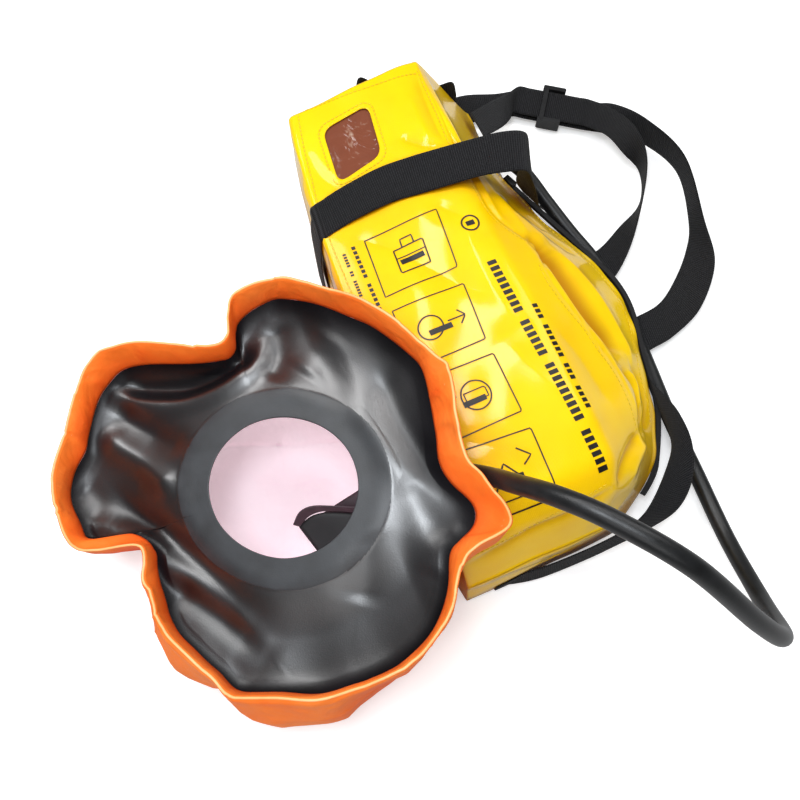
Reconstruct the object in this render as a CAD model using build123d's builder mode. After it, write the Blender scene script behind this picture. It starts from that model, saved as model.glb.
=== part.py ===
"""Smoke hood set: loose hood, air hose and carrying bag with a charged cylinder inside.

Millimetres, +Z up.  The bag lies on its back with the cylinder along Y.
Origin: on the floor, straight below the middle of the cylinder.
"""
from build123d import *
from math import hypot
import os

# ---------------------------------------------------------------- driving dimensions
CLOTH = 2.5                 # coated bag fabric with its seam allowance
WEB = 1.6                   # webbing thickness
WEB_WIDTH = 38.0            # webbing width
BAG_BOTTOM = 0.0            # underside of the back panel
BAG_TOP = 126.0             # front panel over the cylinder
BAG_NEAR, BAG_FAR = -238.0, 238.0
EDGE_LOW, EDGE_HIGH = 22.0, 25.0   # raised sewn edge on the pocket side

CYL_RADIUS = 58.0
CYL_HEIGHT = 63.0           # cylinder axis above the floor
CYL_WALL = 3.0
CYL_BASE, CYL_SHOULDER, CYL_NECK_END = -196.0, 134.0, 148.0
NECK_RADIUS, NECK_BORE = 15.0, 9.0

VALVE_Y = 172.0             # cross axis of the valve body
VALVE_RADIUS = 17.0
RUN = 0.05                  # radial running clearance of fitted pins and bores

GAUGE_X, GAUGE_Y, GAUGE_BASE = -8.0, 180.0, 92.0
GAUGE_RADIUS, GAUGE_DEPTH = 19.0, 20.0

HOSE_RADIUS, HOSE_BORE = 7.5, 4.0
HOSE_ROOM = 3.5             # free space left round the hose where it passes cloth
PASSAGE_LAP = 6.0           # each passage runs on past the bends of the hose
BARB_RADIUS = 3.5

HOOD_X, HOOD_Y = -194.0, -107.0    # centre of the neck hole
RIM_HEIGHT = 148.0          # rim plane above the floor at the neck centre
RIM_SLOPE = 0.28            # the rim rises towards the bag
RIM_DROP = 24.0             # neck seal below the rim
RIM_INSET = 8.0             # neck seal inside the rim
RIM_STRAIGHT = 6.0          # the wall stays straight this far below the neck seal
HOOD_WALL = 2.0
SEAL_THICK = 1.5
NECK_RADIUS_OPEN = 61.0     # neck hole
RING_RADIUS = 94.0          # outside of the reinforcement ring
REST_X, REST_HEIGHT = -94.0, 143.0  # where the hood wall turns over the bag and its hose

os.makedirs("parts", exist_ok=True)


def save(part, name):
    """Label one piece and write its file."""
    part.label = name
    export_step(part, f"parts/{name}.step")


def ribbon(edge_a, edge_b, thick=WEB):
    """A flat strap between two guide edges."""
    rail_a = Spline(*edge_a)
    rail_b = Spline(*edge_b)
    skin = Face.make_surface_from_curves(rail_a.edge(), rail_b.edge())
    with BuildPart() as strap:
        thicken(skin, amount=thick / 2, both=True)
    return strap.part


# ---------------------------------------------------------------- hose
HOSE_PATH = [
    (-86.5, -150, 134), (-72, -151, 135), (-57, -159, 142), (-46, -173, 162),
    (-39, -189, 190), (-24, -214, 222), (-2, -244, 235), (32, -290, 230),
    (76, -342, 174), (110, -363, 122), (137, -341, 62), (156, -285, 22), (168, -220, 9),
    (174, -160, 8), (183, -97, 8), (190, -38, 8), (190, 18, 9), (180, 63, 14), (170, 102, 23),
    (158, 138, 36), (134, 162, 51), (106, 171.5, 61), (90, 172, 63), (75.6, 172, 63),
]


def hose_route():
    """Centre line of the hose, from the hood inlet to the reducer outlet."""
    return Spline(*HOSE_PATH)


with BuildPart() as hose:
    with BuildLine() as hose_line:
        add(hose_route())
    with BuildSketch(Plane(hose_line.line @ 0, z_dir=hose_line.line % 0)):
        Circle(HOSE_RADIUS)
        Circle(HOSE_BORE, mode=Mode.SUBTRACT)
    sweep()
save(hose.part, "hose")


def room_for_hose(start, end, extra):
    """A straight round passage around one stretch of the hose, from one path point to another."""
    first, last = Vector(HOSE_PATH[start]), Vector(HOSE_PATH[end])
    heading = (last - first).normalized()
    with BuildPart() as passage:
        with BuildSketch(Plane(first - heading * PASSAGE_LAP, z_dir=heading)):
            Circle(HOSE_RADIUS + extra)
        extrude(amount=(last - first).length + 2 * PASSAGE_LAP)
    return passage.part


# ---------------------------------------------------------------- bag
# y, left wall, front fold x, sewn edge x, front height, fold height
BAG_STATIONS = [
    (BAG_FAR, -64, 80, 141, BAG_TOP, 119),
    (146, -77, 78, 138, BAG_TOP, 118),
    (73, -85, 94, 159, BAG_TOP, 104),
    (9, -90, 112, 183, BAG_TOP, 92),
    (-36, -90, 118, 189, BAG_TOP, 88),
    (-92, -90, 122, 175, BAG_TOP, 83),
    (-150, -90, 124, 158, BAG_TOP, 76),
    (-190, -89, 106, 134, BAG_TOP - 2, 68),
    (-216, -87, 84, 104, BAG_TOP - 24, 62),
    (BAG_NEAR, -84, 52, 62, 58, 50),
]
SEWN_EDGE = [(x, y) for y, _, _, x, _, _ in BAG_STATIONS]


def bag_profile(left, fold, edge, top, fold_top, wall):
    """Cross-section of the stuffed bag, drawn inside its cloth by the wall given."""
    shoulder = min(60, fold - 24)
    floor = BAG_BOTTOM + wall
    rim = edge - 2.4 * wall
    return [
        (left + wall, floor + 6),
        (left + wall, top - 30),
        (left + wall + 7, top - 10),
        (left + wall + 24, top - wall),
        (shoulder, top - wall),
        (fold - wall, fold_top - wall),
        (rim, EDGE_HIGH + 0.2 * wall),
        (rim, EDGE_LOW + 0.8 * wall),
        (edge - 40, floor),
        (left + wall + 6, floor),
    ]


def bag_form(wall):
    """The bag as a filled form; wall 0 is the outside, the cloth thickness is the inside."""
    with BuildPart() as form:
        for y, left, fold, edge, top, fold_top in BAG_STATIONS:
            station = max(min(y, BAG_FAR - wall), BAG_NEAR + wall)
            with BuildSketch(Plane.XZ.offset(-station)):
                with BuildLine():
                    Polyline(*bag_profile(left, fold, edge, top, fold_top, wall), close=True)
                make_face()
        loft(ruled=True)
    return form.part


bag_outside = bag_form(0)
bag_inside = bag_form(CLOTH)

# back panel: the flat underside and the sloping strip up to the sewn edge
with BuildPart() as back_form:
    for y, left, _, edge, _, _ in BAG_STATIONS:
        with BuildSketch(Plane.XZ.offset(-y)):
            with BuildLine():
                Polyline(
                    (left + 6, BAG_BOTTOM - 1),
                    (edge - 40, BAG_BOTTOM - 1),
                    (edge + 1, EDGE_LOW - 1),
                    (edge + 1, EDGE_LOW + 0.8 * CLOTH),
                    (edge - 2.4 * CLOTH, EDGE_LOW + 0.8 * CLOTH),
                    (edge - 40, BAG_BOTTOM + CLOTH),
                    (left + 6, BAG_BOTTOM + CLOTH),
                    close=True,
                )
            make_face()
    loft(ruled=True)

with BuildPart() as bag_back:
    add(bag_outside)
    add(bag_inside, mode=Mode.SUBTRACT)
    add(back_form.part, mode=Mode.INTERSECT)
save(bag_back.part, "bag_back")

WINDOW_CORNERS = [(-46, 141), (3, 155), (13, 214), (-38, 203)]
with BuildPart() as bag_front:
    add(bag_outside)
    add(bag_inside, mode=Mode.SUBTRACT)
    add(back_form.part, mode=Mode.SUBTRACT)
    for leg in (-5, -4, -3):
        add(room_for_hose(leg, leg + 1, HOSE_ROOM), mode=Mode.SUBTRACT)
    with BuildSketch(Plane.XY.offset(BAG_TOP - 12)) as window_cut:
        with BuildLine():
            Polyline(*WINDOW_CORNERS, close=True)
        make_face()
        fillet(window_cut.vertices(), radius=9)
    extrude(amount=20, mode=Mode.SUBTRACT)
save(bag_front.part, "bag_front")

FILM_THICK, FILM_MARGIN = 0.7, 3.5
with BuildPart() as window_film:
    with BuildSketch(Plane.XY.offset(BAG_TOP - CLOTH - FILM_THICK - 0.1)):
        with BuildLine():
            Polyline(*WINDOW_CORNERS, close=True)
        make_face()
        offset(amount=FILM_MARGIN)
    extrude(amount=FILM_THICK)
save(window_film.part, "window_film")

# fastener tape along the sewn edge: straight where the runner travels, then round the pocket
TAPE_WIDTH, TAPE_LOW, TAPE_HIGH = 5.0, 20.5, 25.0
TAPE_START, TAPE_BEND = (138, 146), (183, 9)
POCKET_EDGE = [TAPE_BEND] + [p for p in SEWN_EDGE if -230 < p[1] < 0]
tape_run = hypot(TAPE_BEND[0] - TAPE_START[0], TAPE_BEND[1] - TAPE_START[1])
TAPE_DIR = ((TAPE_BEND[0] - TAPE_START[0]) / tape_run, (TAPE_BEND[1] - TAPE_START[1]) / tape_run)
TAPE_OUT = (-TAPE_DIR[1], TAPE_DIR[0])


def tape_outline(gap):
    """Edge line of the tape, moved out from the sewn edge by the gap."""
    shift = (TAPE_OUT[0] * gap, TAPE_OUT[1] * gap)
    start = (TAPE_START[0] + shift[0], TAPE_START[1] + shift[1])
    bend = (TAPE_BEND[0] + shift[0], TAPE_BEND[1] + shift[1])
    pocket = [bend]
    for x, y in POCKET_EDGE[1:]:
        lean = max(0.0, -y / 230)
        pocket.append((x + gap * (1 - 0.4 * lean), y - gap * 0.9 * lean))
    return start, bend, pocket


with BuildPart() as fastener_tape:
    with BuildSketch(Plane.XY.offset(TAPE_LOW)):
        with BuildLine():
            start_in, bend_in, pocket_in = tape_outline(0.4)
            start_out, bend_out, pocket_out = tape_outline(TAPE_WIDTH)
            Line(start_in, bend_in)
            Spline(*pocket_in, tangents=[TAPE_DIR, (-0.85, -0.5)])
            Line(pocket_in[-1], pocket_out[-1])
            Spline(*pocket_out, tangents=[TAPE_DIR, (-0.85, -0.5)])
            Line(bend_out, start_out)
            Line(start_out, start_in)
        make_face()
    extrude(amount=TAPE_HIGH - TAPE_LOW)
    add(bag_outside, mode=Mode.SUBTRACT)
save(fastener_tape.part, "fastener_tape")

# runner on the straight part of the tape, with its pull tab
RUNNER_LENGTH, RUNNER_START = 14.0, 8.0
runner_plane = Plane(
    origin=(
        TAPE_START[0] + TAPE_DIR[0] * RUNNER_START,
        TAPE_START[1] + TAPE_DIR[1] * RUNNER_START,
        (TAPE_LOW + TAPE_HIGH) / 2,
    ),
    x_dir=(TAPE_DIR[0], TAPE_DIR[1], 0),
    z_dir=(0, 0, 1),
)
TAPE_HEIGHT = TAPE_HIGH - TAPE_LOW
with BuildPart(runner_plane) as fastener_runner:
    with Locations((0, (TAPE_WIDTH + 2.4 + 1.2) / 2, 0)):
        Box(RUNNER_LENGTH, TAPE_WIDTH + 2.4 - 1.2, TAPE_HEIGHT + 5)
    with Locations((0, TAPE_WIDTH / 2, 0)):
        Box(RUNNER_LENGTH + 2, TAPE_WIDTH + 0.4, TAPE_HEIGHT + 0.4, mode=Mode.SUBTRACT)
    with Locations((-4, TAPE_WIDTH - 1, TAPE_HEIGHT / 2 + 3)):
        Box(3, 3, 2)
save(fastener_runner.part, "fastener_runner")

# ---------------------------------------------------------------- webbing
band_far_edge = [
    (-83.5, 128, 8), (-83.5, 128, 60), (-82.5, 127, 98), (-75, 128, 121), (-56, 132, 128),
    (-10, 140, 128.5), (25, 140, 128.5), (58, 137, 129.5), (85, 132, 133), (112, 125, 138),
    (131, 118, 137), (137, 116, 122), (137, 119, 80), (139, 122, 52), (149, 122, 30),
]
band_near_edge = [
    (-88, 88, 8), (-88, 88, 60), (-87, 88, 98), (-79, 91, 121), (-56, 96, 128),
    (-12, 101, 128.5), (18, 99, 128.5), (50, 96, 129.5), (76, 92, 132), (98, 84, 136),
    (114, 78, 136), (122, 76, 120), (136, 80, 84), (146, 84, 54), (158.5, 88, 33),
]
with BuildPart() as upper_band:
    add(ribbon(band_far_edge, band_near_edge))
    add(bag_outside, mode=Mode.SUBTRACT)
save(upper_band.part, "upper_band")

loop_outer_edge = [
    (166, -122, 29), (169, -140, 32), (170, -164, 39), (163, -196, 45), (146, -226, 43),
    (123, -244, 36), (93, -249, 28), (62, -250, 20), (32, -250, 10), (-19, -250, 4),
    (-53, -249, 3), (-80, -249, 3),
]
loop_inner_edge = [
    (157, -166, 30), (153, -176, 36), (143, -194, 43), (122, -212, 50), (104, -226, 52),
    (88, -236, 51), (72, -241, 47), (50, -243, 42), (21, -243, 38), (-19, -243, 34),
    (-53, -243, 32), (-80, -243, 32),
]
with BuildPart() as lower_band:
    add(ribbon(loop_outer_edge, loop_inner_edge))
    add(bag_outside, mode=Mode.SUBTRACT)
    add(fastener_tape.part, mode=Mode.SUBTRACT)
save(lower_band.part, "lower_band")

# the two long straps run side by side through the strap slider
SLIDER_CENTRE = (238, 219)
STRAP_DIR, STRAP_SIDE = (0.8, -0.6), (0.6, 0.8)
STRAIGHT_HALF = 36.0
LOWER_LAYER, UPPER_LAYER = 8.0, 14.6


def slider_point(along, side, height):
    """Point near the strap slider: along the strap, across it, above the floor."""
    return (
        SLIDER_CENTRE[0] + STRAP_DIR[0] * along + STRAP_SIDE[0] * side,
        SLIDER_CENTRE[1] + STRAP_DIR[1] * along + STRAP_SIDE[1] * side,
        height,
    )


def straight_stretch(side, height):
    """Guide points of the straight stretch that the slider travels on."""
    stops = (-STRAIGHT_HALF, -STRAIGHT_HALF / 2, 0, STRAIGHT_HALF / 2, STRAIGHT_HALF)
    return [slider_point(along, side, height) for along in stops]


HALF_WEB = WEB_WIDTH / 2
shoulder_outer = [(118, 262, 32), (152, 266, 22), (188, 262, 12)]
shoulder_outer += straight_stretch(HALF_WEB, LOWER_LAYER)
shoulder_outer += [
    (300, 186, 24), (312, 142, 40), (326, 86, 38), (313, 15, 24),
    (300, -32, 18), (262, -70, 14), (222, -88, 16), (189, -90, 22),
]
shoulder_inner = [(124, 242, 8), (152, 238, 8), (176, 231, 9)]
shoulder_inner += straight_stretch(-HALF_WEB, LOWER_LAYER)
shoulder_inner += [
    (284, 164, 6), (314, 141, 3), (331, 90, 3), (309, 27, 4),
    (284, -6, 6), (252, -33, 10), (226, -50, 16), (198, -53, 22),
]
save(ribbon(shoulder_outer, shoulder_inner), "shoulder_strap")

waist_outer = [(128, 212, 62), (160, 226, 50), (196, 246, 28)]
waist_outer += straight_stretch(HALF_WEB, UPPER_LAYER)
waist_outer += [
    (290, 178, 30), (292, 138, 44), (284, 98, 44), (259, 58, 38), (230, 22, 28), (194, -4, 23),
]
waist_inner = [(128, 178, 62), (158, 192, 48), (180, 212, 28)]
waist_inner += straight_stretch(-HALF_WEB, UPPER_LAYER)
waist_inner += [
    (270, 152, 24), (274, 122, 26), (288, 102, 10), (270, 68, 8), (234, 50, 12), (194, 30, 23),
]
save(ribbon(waist_outer, waist_inner), "waist_strap")

# strap slider: two cheeks, a bar between the strap layers and a bar above and below them
slider_plane = Plane(
    origin=(SLIDER_CENTRE[0], SLIDER_CENTRE[1], 0),
    x_dir=(STRAP_DIR[0], STRAP_DIR[1], 0),
    z_dir=(0, 0, 1),
)
LAYER_MID = (LOWER_LAYER + UPPER_LAYER) / 2
BAR_GAP = 0.9
with BuildPart(slider_plane) as strap_slider:
    with Locations((0, HALF_WEB + 3.5, LAYER_MID), (0, -HALF_WEB - 3.5, LAYER_MID)):
        Box(26, 5, 14)
    fillet(strap_slider.edges().filter_by(Axis.Z), radius=2)
    with Locations((0, 0, LAYER_MID)):
        Box(6, WEB_WIDTH + 8, UPPER_LAYER - LOWER_LAYER - WEB - 2 * BAR_GAP)
    with Locations((-9, 0, UPPER_LAYER + WEB / 2 + BAR_GAP + 1.2)):
        Box(5, WEB_WIDTH + 8, 2.4)
    with Locations((9, 0, LOWER_LAYER - WEB / 2 - BAR_GAP - 1.2)):
        Box(5, WEB_WIDTH + 8, 2.4)
save(strap_slider.part, "strap_slider")

GRAB_WIDTH = 25.0
grab_upper_edge = [
    (12, 240.5, 98), (20, 252, 110), (44, 251, 98), (80, 248, 86), (106, 248, 84), (119, 243, 86),
    (122, 240.5, 72),
]
grab_lower_edge = [(x, y, z - GRAB_WIDTH) for x, y, z in grab_upper_edge]
save(ribbon(grab_upper_edge, grab_lower_edge), "grab_handle")

# ---------------------------------------------------------------- cylinder
BASE_ROUND, SHOULDER_ROUND = 26.0, 42.0


def ring_along(y_from, y_to, radius, bore=0.0, x=0.0, z=CYL_HEIGHT):
    """A plain turned ring or pin whose axis runs along Y."""
    with BuildPart() as turned:
        with BuildSketch(Plane.XZ.offset(-y_to)):
            with Locations((x, z)):
                Circle(radius)
                if bore:
                    Circle(bore, mode=Mode.SUBTRACT)
        extrude(amount=y_to - y_from)
    return turned.part


def vessel(wall, neck):
    """The cylinder as a filled form, drawn inside its skin by the wall given."""
    with BuildPart() as form:
        add(ring_along(CYL_BASE + wall, CYL_SHOULDER - wall, CYL_RADIUS - wall))
        fillet(form.edges().group_by(Axis.Y)[0], radius=BASE_ROUND - wall)
        fillet(form.edges().group_by(Axis.Y)[-1], radius=SHOULDER_ROUND - wall)
        add(ring_along(CYL_SHOULDER - wall, CYL_NECK_END, neck))
    return form.part


with BuildPart() as cylinder:
    add(vessel(0, NECK_RADIUS))
    add(vessel(CYL_WALL, NECK_BORE), mode=Mode.SUBTRACT)
save(cylinder.part, "cylinder")

STRAP_STATIONS = (-120.0, 40.0)
HOLDER_WIDTH, HOLDER_THICK = 25.0, 1.4
with BuildPart() as cylinder_straps:
    for y in STRAP_STATIONS:
        with BuildSketch(Plane.XZ.offset(-y)):
            with Locations((0, CYL_HEIGHT)):
                Circle(CYL_RADIUS + RUN + HOLDER_THICK)
                Circle(CYL_RADIUS + RUN, mode=Mode.SUBTRACT)
        extrude(amount=HOLDER_WIDTH / 2, both=True)
save(cylinder_straps.part, "cylinder_straps")

# ---------------------------------------------------------------- valve
def ring_across(x_from, x_to, radius, bore=0.0, y=VALVE_Y, z=CYL_HEIGHT):
    """A plain turned ring or pin whose axis runs along X."""
    with BuildPart() as turned:
        with BuildSketch(Plane.YZ.offset(x_from)):
            with Locations((y, z)):
                Circle(radius)
                if bore:
                    Circle(bore, mode=Mode.SUBTRACT)
        extrude(amount=x_to - x_from)
    return turned.part


def hex_along(y_from, y_to, across, bore, z=CYL_HEIGHT):
    """A hexagon nut on an axis along Y."""
    with BuildPart() as nut:
        with BuildSketch(Plane.XZ.offset(-y_to)):
            with Locations((0, z)):
                RegularPolygon(across / 2, 6, major_radius=False)
                Circle(bore, mode=Mode.SUBTRACT)
        extrude(amount=y_to - y_from)
        chamfer(nut.edges().filter_by(GeomType.LINE).filter_by(Axis.Y, reverse=True), length=0.8)
    return nut.part


def hex_across(x_from, x_to, across, bore, y=VALVE_Y, z=CYL_HEIGHT):
    """A hexagon nut on an axis along X."""
    with BuildPart() as nut:
        with BuildSketch(Plane.YZ.offset(x_from)):
            with Locations((y, z)):
                RegularPolygon(across / 2, 6, major_radius=False)
                Circle(bore, mode=Mode.SUBTRACT)
        extrude(amount=x_to - x_from)
        chamfer(nut.edges().filter_by(GeomType.LINE).filter_by(Axis.X, reverse=True), length=0.8)
    return nut.part


BODY_FROM, BODY_TO = 150.0, 194.0
STEM_RADIUS, STEM_FROM, STEM_TO = 4.0, 154.0, 168.0
SPINDLE_RADIUS, SPINDLE_FROM, SPINDLE_TO = 4.0, 175.0, 218.0
GLAND_FROM, GLAND_RADIUS = 190.0, 7.0
STUB_RADIUS = 4.5           # reducer stub in the side of the valve
PLUG_RADIUS = 4.0           # burst plug stub
GAUGE_STEM = 3.0
FILL_Y, FILL_RADIUS, FILL_TIP = 160.0, 6.5, 38.0


def ring_up(z_from, z_to, radius, bore=0.0, x=0.0, y=0.0):
    """A plain turned ring or pin whose axis runs along Z."""
    with BuildPart() as turned:
        with BuildSketch(Plane.XY.offset(z_from)):
            with Locations((x, y)):
                Circle(radius)
                if bore:
                    Circle(bore, mode=Mode.SUBTRACT)
        extrude(amount=z_to - z_from)
    return turned.part


with BuildPart() as valve_body:
    add(ring_along(BODY_FROM, BODY_TO, VALVE_RADIUS))
    fillet(valve_body.edges().filter_by(GeomType.CIRCLE), radius=1.5)
    add(ring_along(122, BODY_FROM, NECK_BORE - RUN))
    add(ring_across(0, 24, 11))
    add(ring_up(CYL_HEIGHT, CYL_HEIGHT + VALVE_RADIUS + 2, 8, x=GAUGE_X, y=GAUGE_Y))
    add(ring_up(FILL_TIP, CYL_HEIGHT, FILL_RADIUS, y=FILL_Y))
    add(ring_along(122, BODY_TO, STEM_RADIUS + RUN), mode=Mode.SUBTRACT)
    add(ring_along(GLAND_FROM, BODY_TO, GLAND_RADIUS + RUN), mode=Mode.SUBTRACT)
    add(ring_across(2, 26, STUB_RADIUS + RUN), mode=Mode.SUBTRACT)
    add(ring_across(-24, -2, PLUG_RADIUS + RUN), mode=Mode.SUBTRACT)
    add(ring_up(66, 84, GAUGE_STEM + RUN, x=GAUGE_X, y=GAUGE_Y), mode=Mode.SUBTRACT)
    add(ring_up(FILL_TIP - 1, CYL_HEIGHT, 2, y=FILL_Y), mode=Mode.SUBTRACT)
save(valve_body.part, "valve_body")
save(ring_along(CYL_NECK_END, BODY_FROM, NECK_RADIUS, NECK_BORE + RUN), "neck_washer")
save(ring_along(STEM_FROM, STEM_TO, STEM_RADIUS), "valve_stem")
save(ring_along(GLAND_FROM, BODY_TO, GLAND_RADIUS, SPINDLE_RADIUS + RUN), "gland_seal")
save(hex_along(BODY_TO, 201, 20, SPINDLE_RADIUS + RUN), "gland_nut")

WHEEL_FROM, WHEEL_TO, WHEEL_RADIUS, WHEEL_GRIPS = 204.0, 217.0, 21.0, 8
with BuildPart() as handwheel:
    add(ring_along(WHEEL_FROM, WHEEL_TO, WHEEL_RADIUS))
    with BuildSketch(Plane.XZ.offset(-WHEEL_TO)):
        with Locations((0, CYL_HEIGHT)):
            with PolarLocations(WHEEL_RADIUS + 3.5, WHEEL_GRIPS):
                Circle(6)
    extrude(amount=WHEEL_TO - WHEEL_FROM, mode=Mode.SUBTRACT)
    add(ring_along(WHEEL_TO - 4, WHEEL_TO, 13, 7), mode=Mode.SUBTRACT)
    add(ring_along(WHEEL_FROM, WHEEL_TO, SPINDLE_RADIUS + RUN), mode=Mode.SUBTRACT)
    rim_edges = handwheel.edges().filter_by_position(Axis.Y, WHEEL_TO - 0.1, WHEEL_TO + 0.1)
    chamfer(rim_edges, length=0.8)
save(handwheel.part, "handwheel")
save(ring_along(SPINDLE_FROM, 224, SPINDLE_RADIUS), "handwheel_spindle")
save(hex_along(WHEEL_TO, 222, 13, SPINDLE_RADIUS + RUN), "handwheel_nut")

with BuildPart() as burst_plug:
    add(ring_across(-17, -5, PLUG_RADIUS))
    add(hex_across(-24, -17, 12, 2))
save(burst_plug.part, "burst_plug")

CAP_RADIUS, CAP_FROM, CAP_TO = 9.0, 31.0, 45.5
with BuildPart() as fill_cap:
    add(ring_up(CAP_FROM, CAP_TO, CAP_RADIUS, y=FILL_Y))
    add(ring_up(FILL_TIP - 0.2, CAP_TO, FILL_RADIUS + RUN, y=FILL_Y), mode=Mode.SUBTRACT)
    chamfer(fill_cap.edges().group_by(Axis.Z)[0], length=1)
    with Locations((0, FILL_Y, (CAP_FROM + CAP_TO) / 2)):
        with PolarLocations(CAP_RADIUS + 0.4, 16):
            Cylinder(0.9, 20, mode=Mode.SUBTRACT)
save(fill_cap.part, "fill_cap")

# ---------------------------------------------------------------- pressure gauge
LENS_SEAT = GAUGE_BASE + 14
GAUGE_TOP = GAUGE_BASE + GAUGE_DEPTH
DIAL_SEAT = GAUGE_BASE + 5
DIAL_RADIUS, LENS_RADIUS = GAUGE_RADIUS - 2.8, GAUGE_RADIUS - 2
at_gauge = dict(x=GAUGE_X, y=GAUGE_Y)
with BuildPart() as gauge_case:
    add(ring_up(GAUGE_BASE, GAUGE_TOP, GAUGE_RADIUS, **at_gauge))
    add(ring_up(GAUGE_BASE - 22, GAUGE_BASE, GAUGE_STEM, **at_gauge))
    add(ring_up(CYL_HEIGHT + VALVE_RADIUS + 2, GAUGE_BASE, 6, **at_gauge))
    add(ring_up(DIAL_SEAT - 2, GAUGE_TOP, DIAL_RADIUS - 1.2, **at_gauge), mode=Mode.SUBTRACT)
    add(ring_up(DIAL_SEAT, GAUGE_TOP, DIAL_RADIUS, **at_gauge), mode=Mode.SUBTRACT)
    add(ring_up(LENS_SEAT, GAUGE_TOP, LENS_RADIUS, **at_gauge), mode=Mode.SUBTRACT)
    add(ring_up(GAUGE_BASE - 22, DIAL_SEAT - 3, 1, **at_gauge), mode=Mode.SUBTRACT)
save(gauge_case.part, "gauge_case")
NEEDLE_PIN, NEEDLE_LENGTH = 0.75, 12.0
save(ring_up(DIAL_SEAT, DIAL_SEAT + 1, DIAL_RADIUS - RUN, NEEDLE_PIN + RUN, **at_gauge), "gauge_dial")
with BuildPart() as gauge_needle:
    add(ring_up(DIAL_SEAT - 1.5, DIAL_SEAT + 3, NEEDLE_PIN, **at_gauge))
    add(ring_up(DIAL_SEAT + 2, DIAL_SEAT + 4, 2, **at_gauge))
    with BuildSketch(Plane((GAUGE_X, GAUGE_Y, DIAL_SEAT + 2.6))):
        with BuildLine():
            Polyline((-5, -0.8), (NEEDLE_LENGTH, -0.2), (NEEDLE_LENGTH, 0.2), (-5, 0.8), close=True)
        make_face()
    extrude(amount=0.8)
save(gauge_needle.part, "gauge_needle")
save(ring_up(LENS_SEAT, LENS_SEAT + 2, LENS_RADIUS - RUN, **at_gauge), "gauge_lens")
save(ring_up(LENS_SEAT + 2, GAUGE_TOP, LENS_RADIUS - RUN, 14.5, **at_gauge), "gauge_bezel")

# ---------------------------------------------------------------- pressure reducer and hose end
REDUCER_FROM, REDUCER_TO, REDUCER_RADIUS, REDUCER_BORE = 24.0, 60.0, 16.0, 11.0
PISTON_FROM, PISTON_FACE = 34.0, 40.0
OUTLET_BORE = 5.0
HOSE_START = 75.2
with BuildPart() as reducer_body:
    add(ring_across(REDUCER_FROM, REDUCER_TO, REDUCER_RADIUS))
    fillet(reducer_body.edges().filter_by(GeomType.CIRCLE), radius=1.2)
    add(ring_across(6, REDUCER_FROM, STUB_RADIUS))
    add(ring_across(6, 30, 1.5), mode=Mode.SUBTRACT)
    add(ring_across(30, REDUCER_TO, REDUCER_BORE), mode=Mode.SUBTRACT)
save(reducer_body.part, "reducer_body")
with BuildPart() as reducer_piston:
    add(ring_across(PISTON_FROM, PISTON_FACE, REDUCER_BORE - RUN))
    add(ring_across(PISTON_FACE, 48, 4))
    add(ring_across(PISTON_FROM, 48, 1), mode=Mode.SUBTRACT)
save(reducer_piston.part, "reducer_piston")
SPRING_WIRE, SPRING_RADIUS, SPRING_LENGTH = 0.7, 7.0, 14.0
with BuildPart() as reducer_spring:
    with BuildLine() as coil:
        Helix(
            pitch=SPRING_LENGTH / 4, height=SPRING_LENGTH, radius=SPRING_RADIUS,
            center=(PISTON_FACE + 0.9, VALVE_Y, CYL_HEIGHT), direction=(1, 0, 0),
        )
    with BuildSketch(Plane(coil.line @ 0, z_dir=coil.line % 0)):
        Circle(SPRING_WIRE)
    sweep(is_frenet=True)
save(reducer_spring.part, "reducer_spring")
with BuildPart() as reducer_cap:
    add(ring_across(REDUCER_TO, 66, REDUCER_RADIUS, OUTLET_BORE + RUN))
    add(ring_across(56.5, REDUCER_TO, REDUCER_BORE - RUN, OUTLET_BORE + RUN))
    with Locations((63, VALVE_Y, CYL_HEIGHT)):
        with Locations(Rotation(0, 90, 0)):
            with PolarLocations(REDUCER_RADIUS, 12):
                Cylinder(1.4, 6, mode=Mode.SUBTRACT)
save(reducer_cap.part, "reducer_cap")
with BuildPart() as hose_fitting:
    add(ring_across(58, 66, OUTLET_BORE))
    add(hex_across(66, HOSE_START - 0.4, 17, 2))
    add(ring_across(HOSE_START - 0.4, HOSE_START + 8, BARB_RADIUS))
    add(ring_across(58, HOSE_START + 8, 1.8), mode=Mode.SUBTRACT)
save(hose_fitting.part, "hose_fitting")
save(ring_across(HOSE_START, HOSE_START + 9, HOSE_RADIUS + 1.6, HOSE_RADIUS + 0.35), "hose_ferrule")

# ---------------------------------------------------------------- hood
# lobes of the loosely folded rim, measured in the rim plane from the neck centre
RIM_LOBES = [
    (59, 156), (23, 160), (3, 129), (-51, 154), (-104, 174), (-135, 157), (-155, 128),
    (-177, 101), (-186, 57), (-167, 19), (-129, -1), (-134, -58), (-107, -110), (-56, -152),
    (-9, -167), (53, -163), (83, -144), (104, -115), (146, -101), (141, -58), (144, -19),
    (153, 19), (133, 75), (112, 107), (79, 142),
]
rim_plane = Plane(
    origin=(HOOD_X, HOOD_Y, RIM_HEIGHT), x_dir=(1, 0, RIM_SLOPE), z_dir=(-RIM_SLOPE, 0, 1),
)


def lobes(scale, inset, limit=None):
    """Rim lobes scaled about the neck centre and pulled in by the inset, kept left of a limit."""
    points = []
    for u, v in RIM_LOBES:
        reach = hypot(u, v)
        keep = scale * (reach - inset) / reach
        across = u * keep
        if limit is not None:
            across = min(across, limit)
        points.append((across, v * keep))
    return points


def lobe_sketch(plane, scale, inset, limit=None):
    """A closed smooth face through the lobes on the given plane."""
    with BuildSketch(plane) as face:
        with BuildLine():
            Spline(*lobes(scale, inset, limit), periodic=True)
        make_face()
    return face.sketch


FLOOR_LIMIT, BELLY_LIMIT = -108.0 - HOOD_X, -104.0 - HOOD_X
BELLY = 45.0


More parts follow.
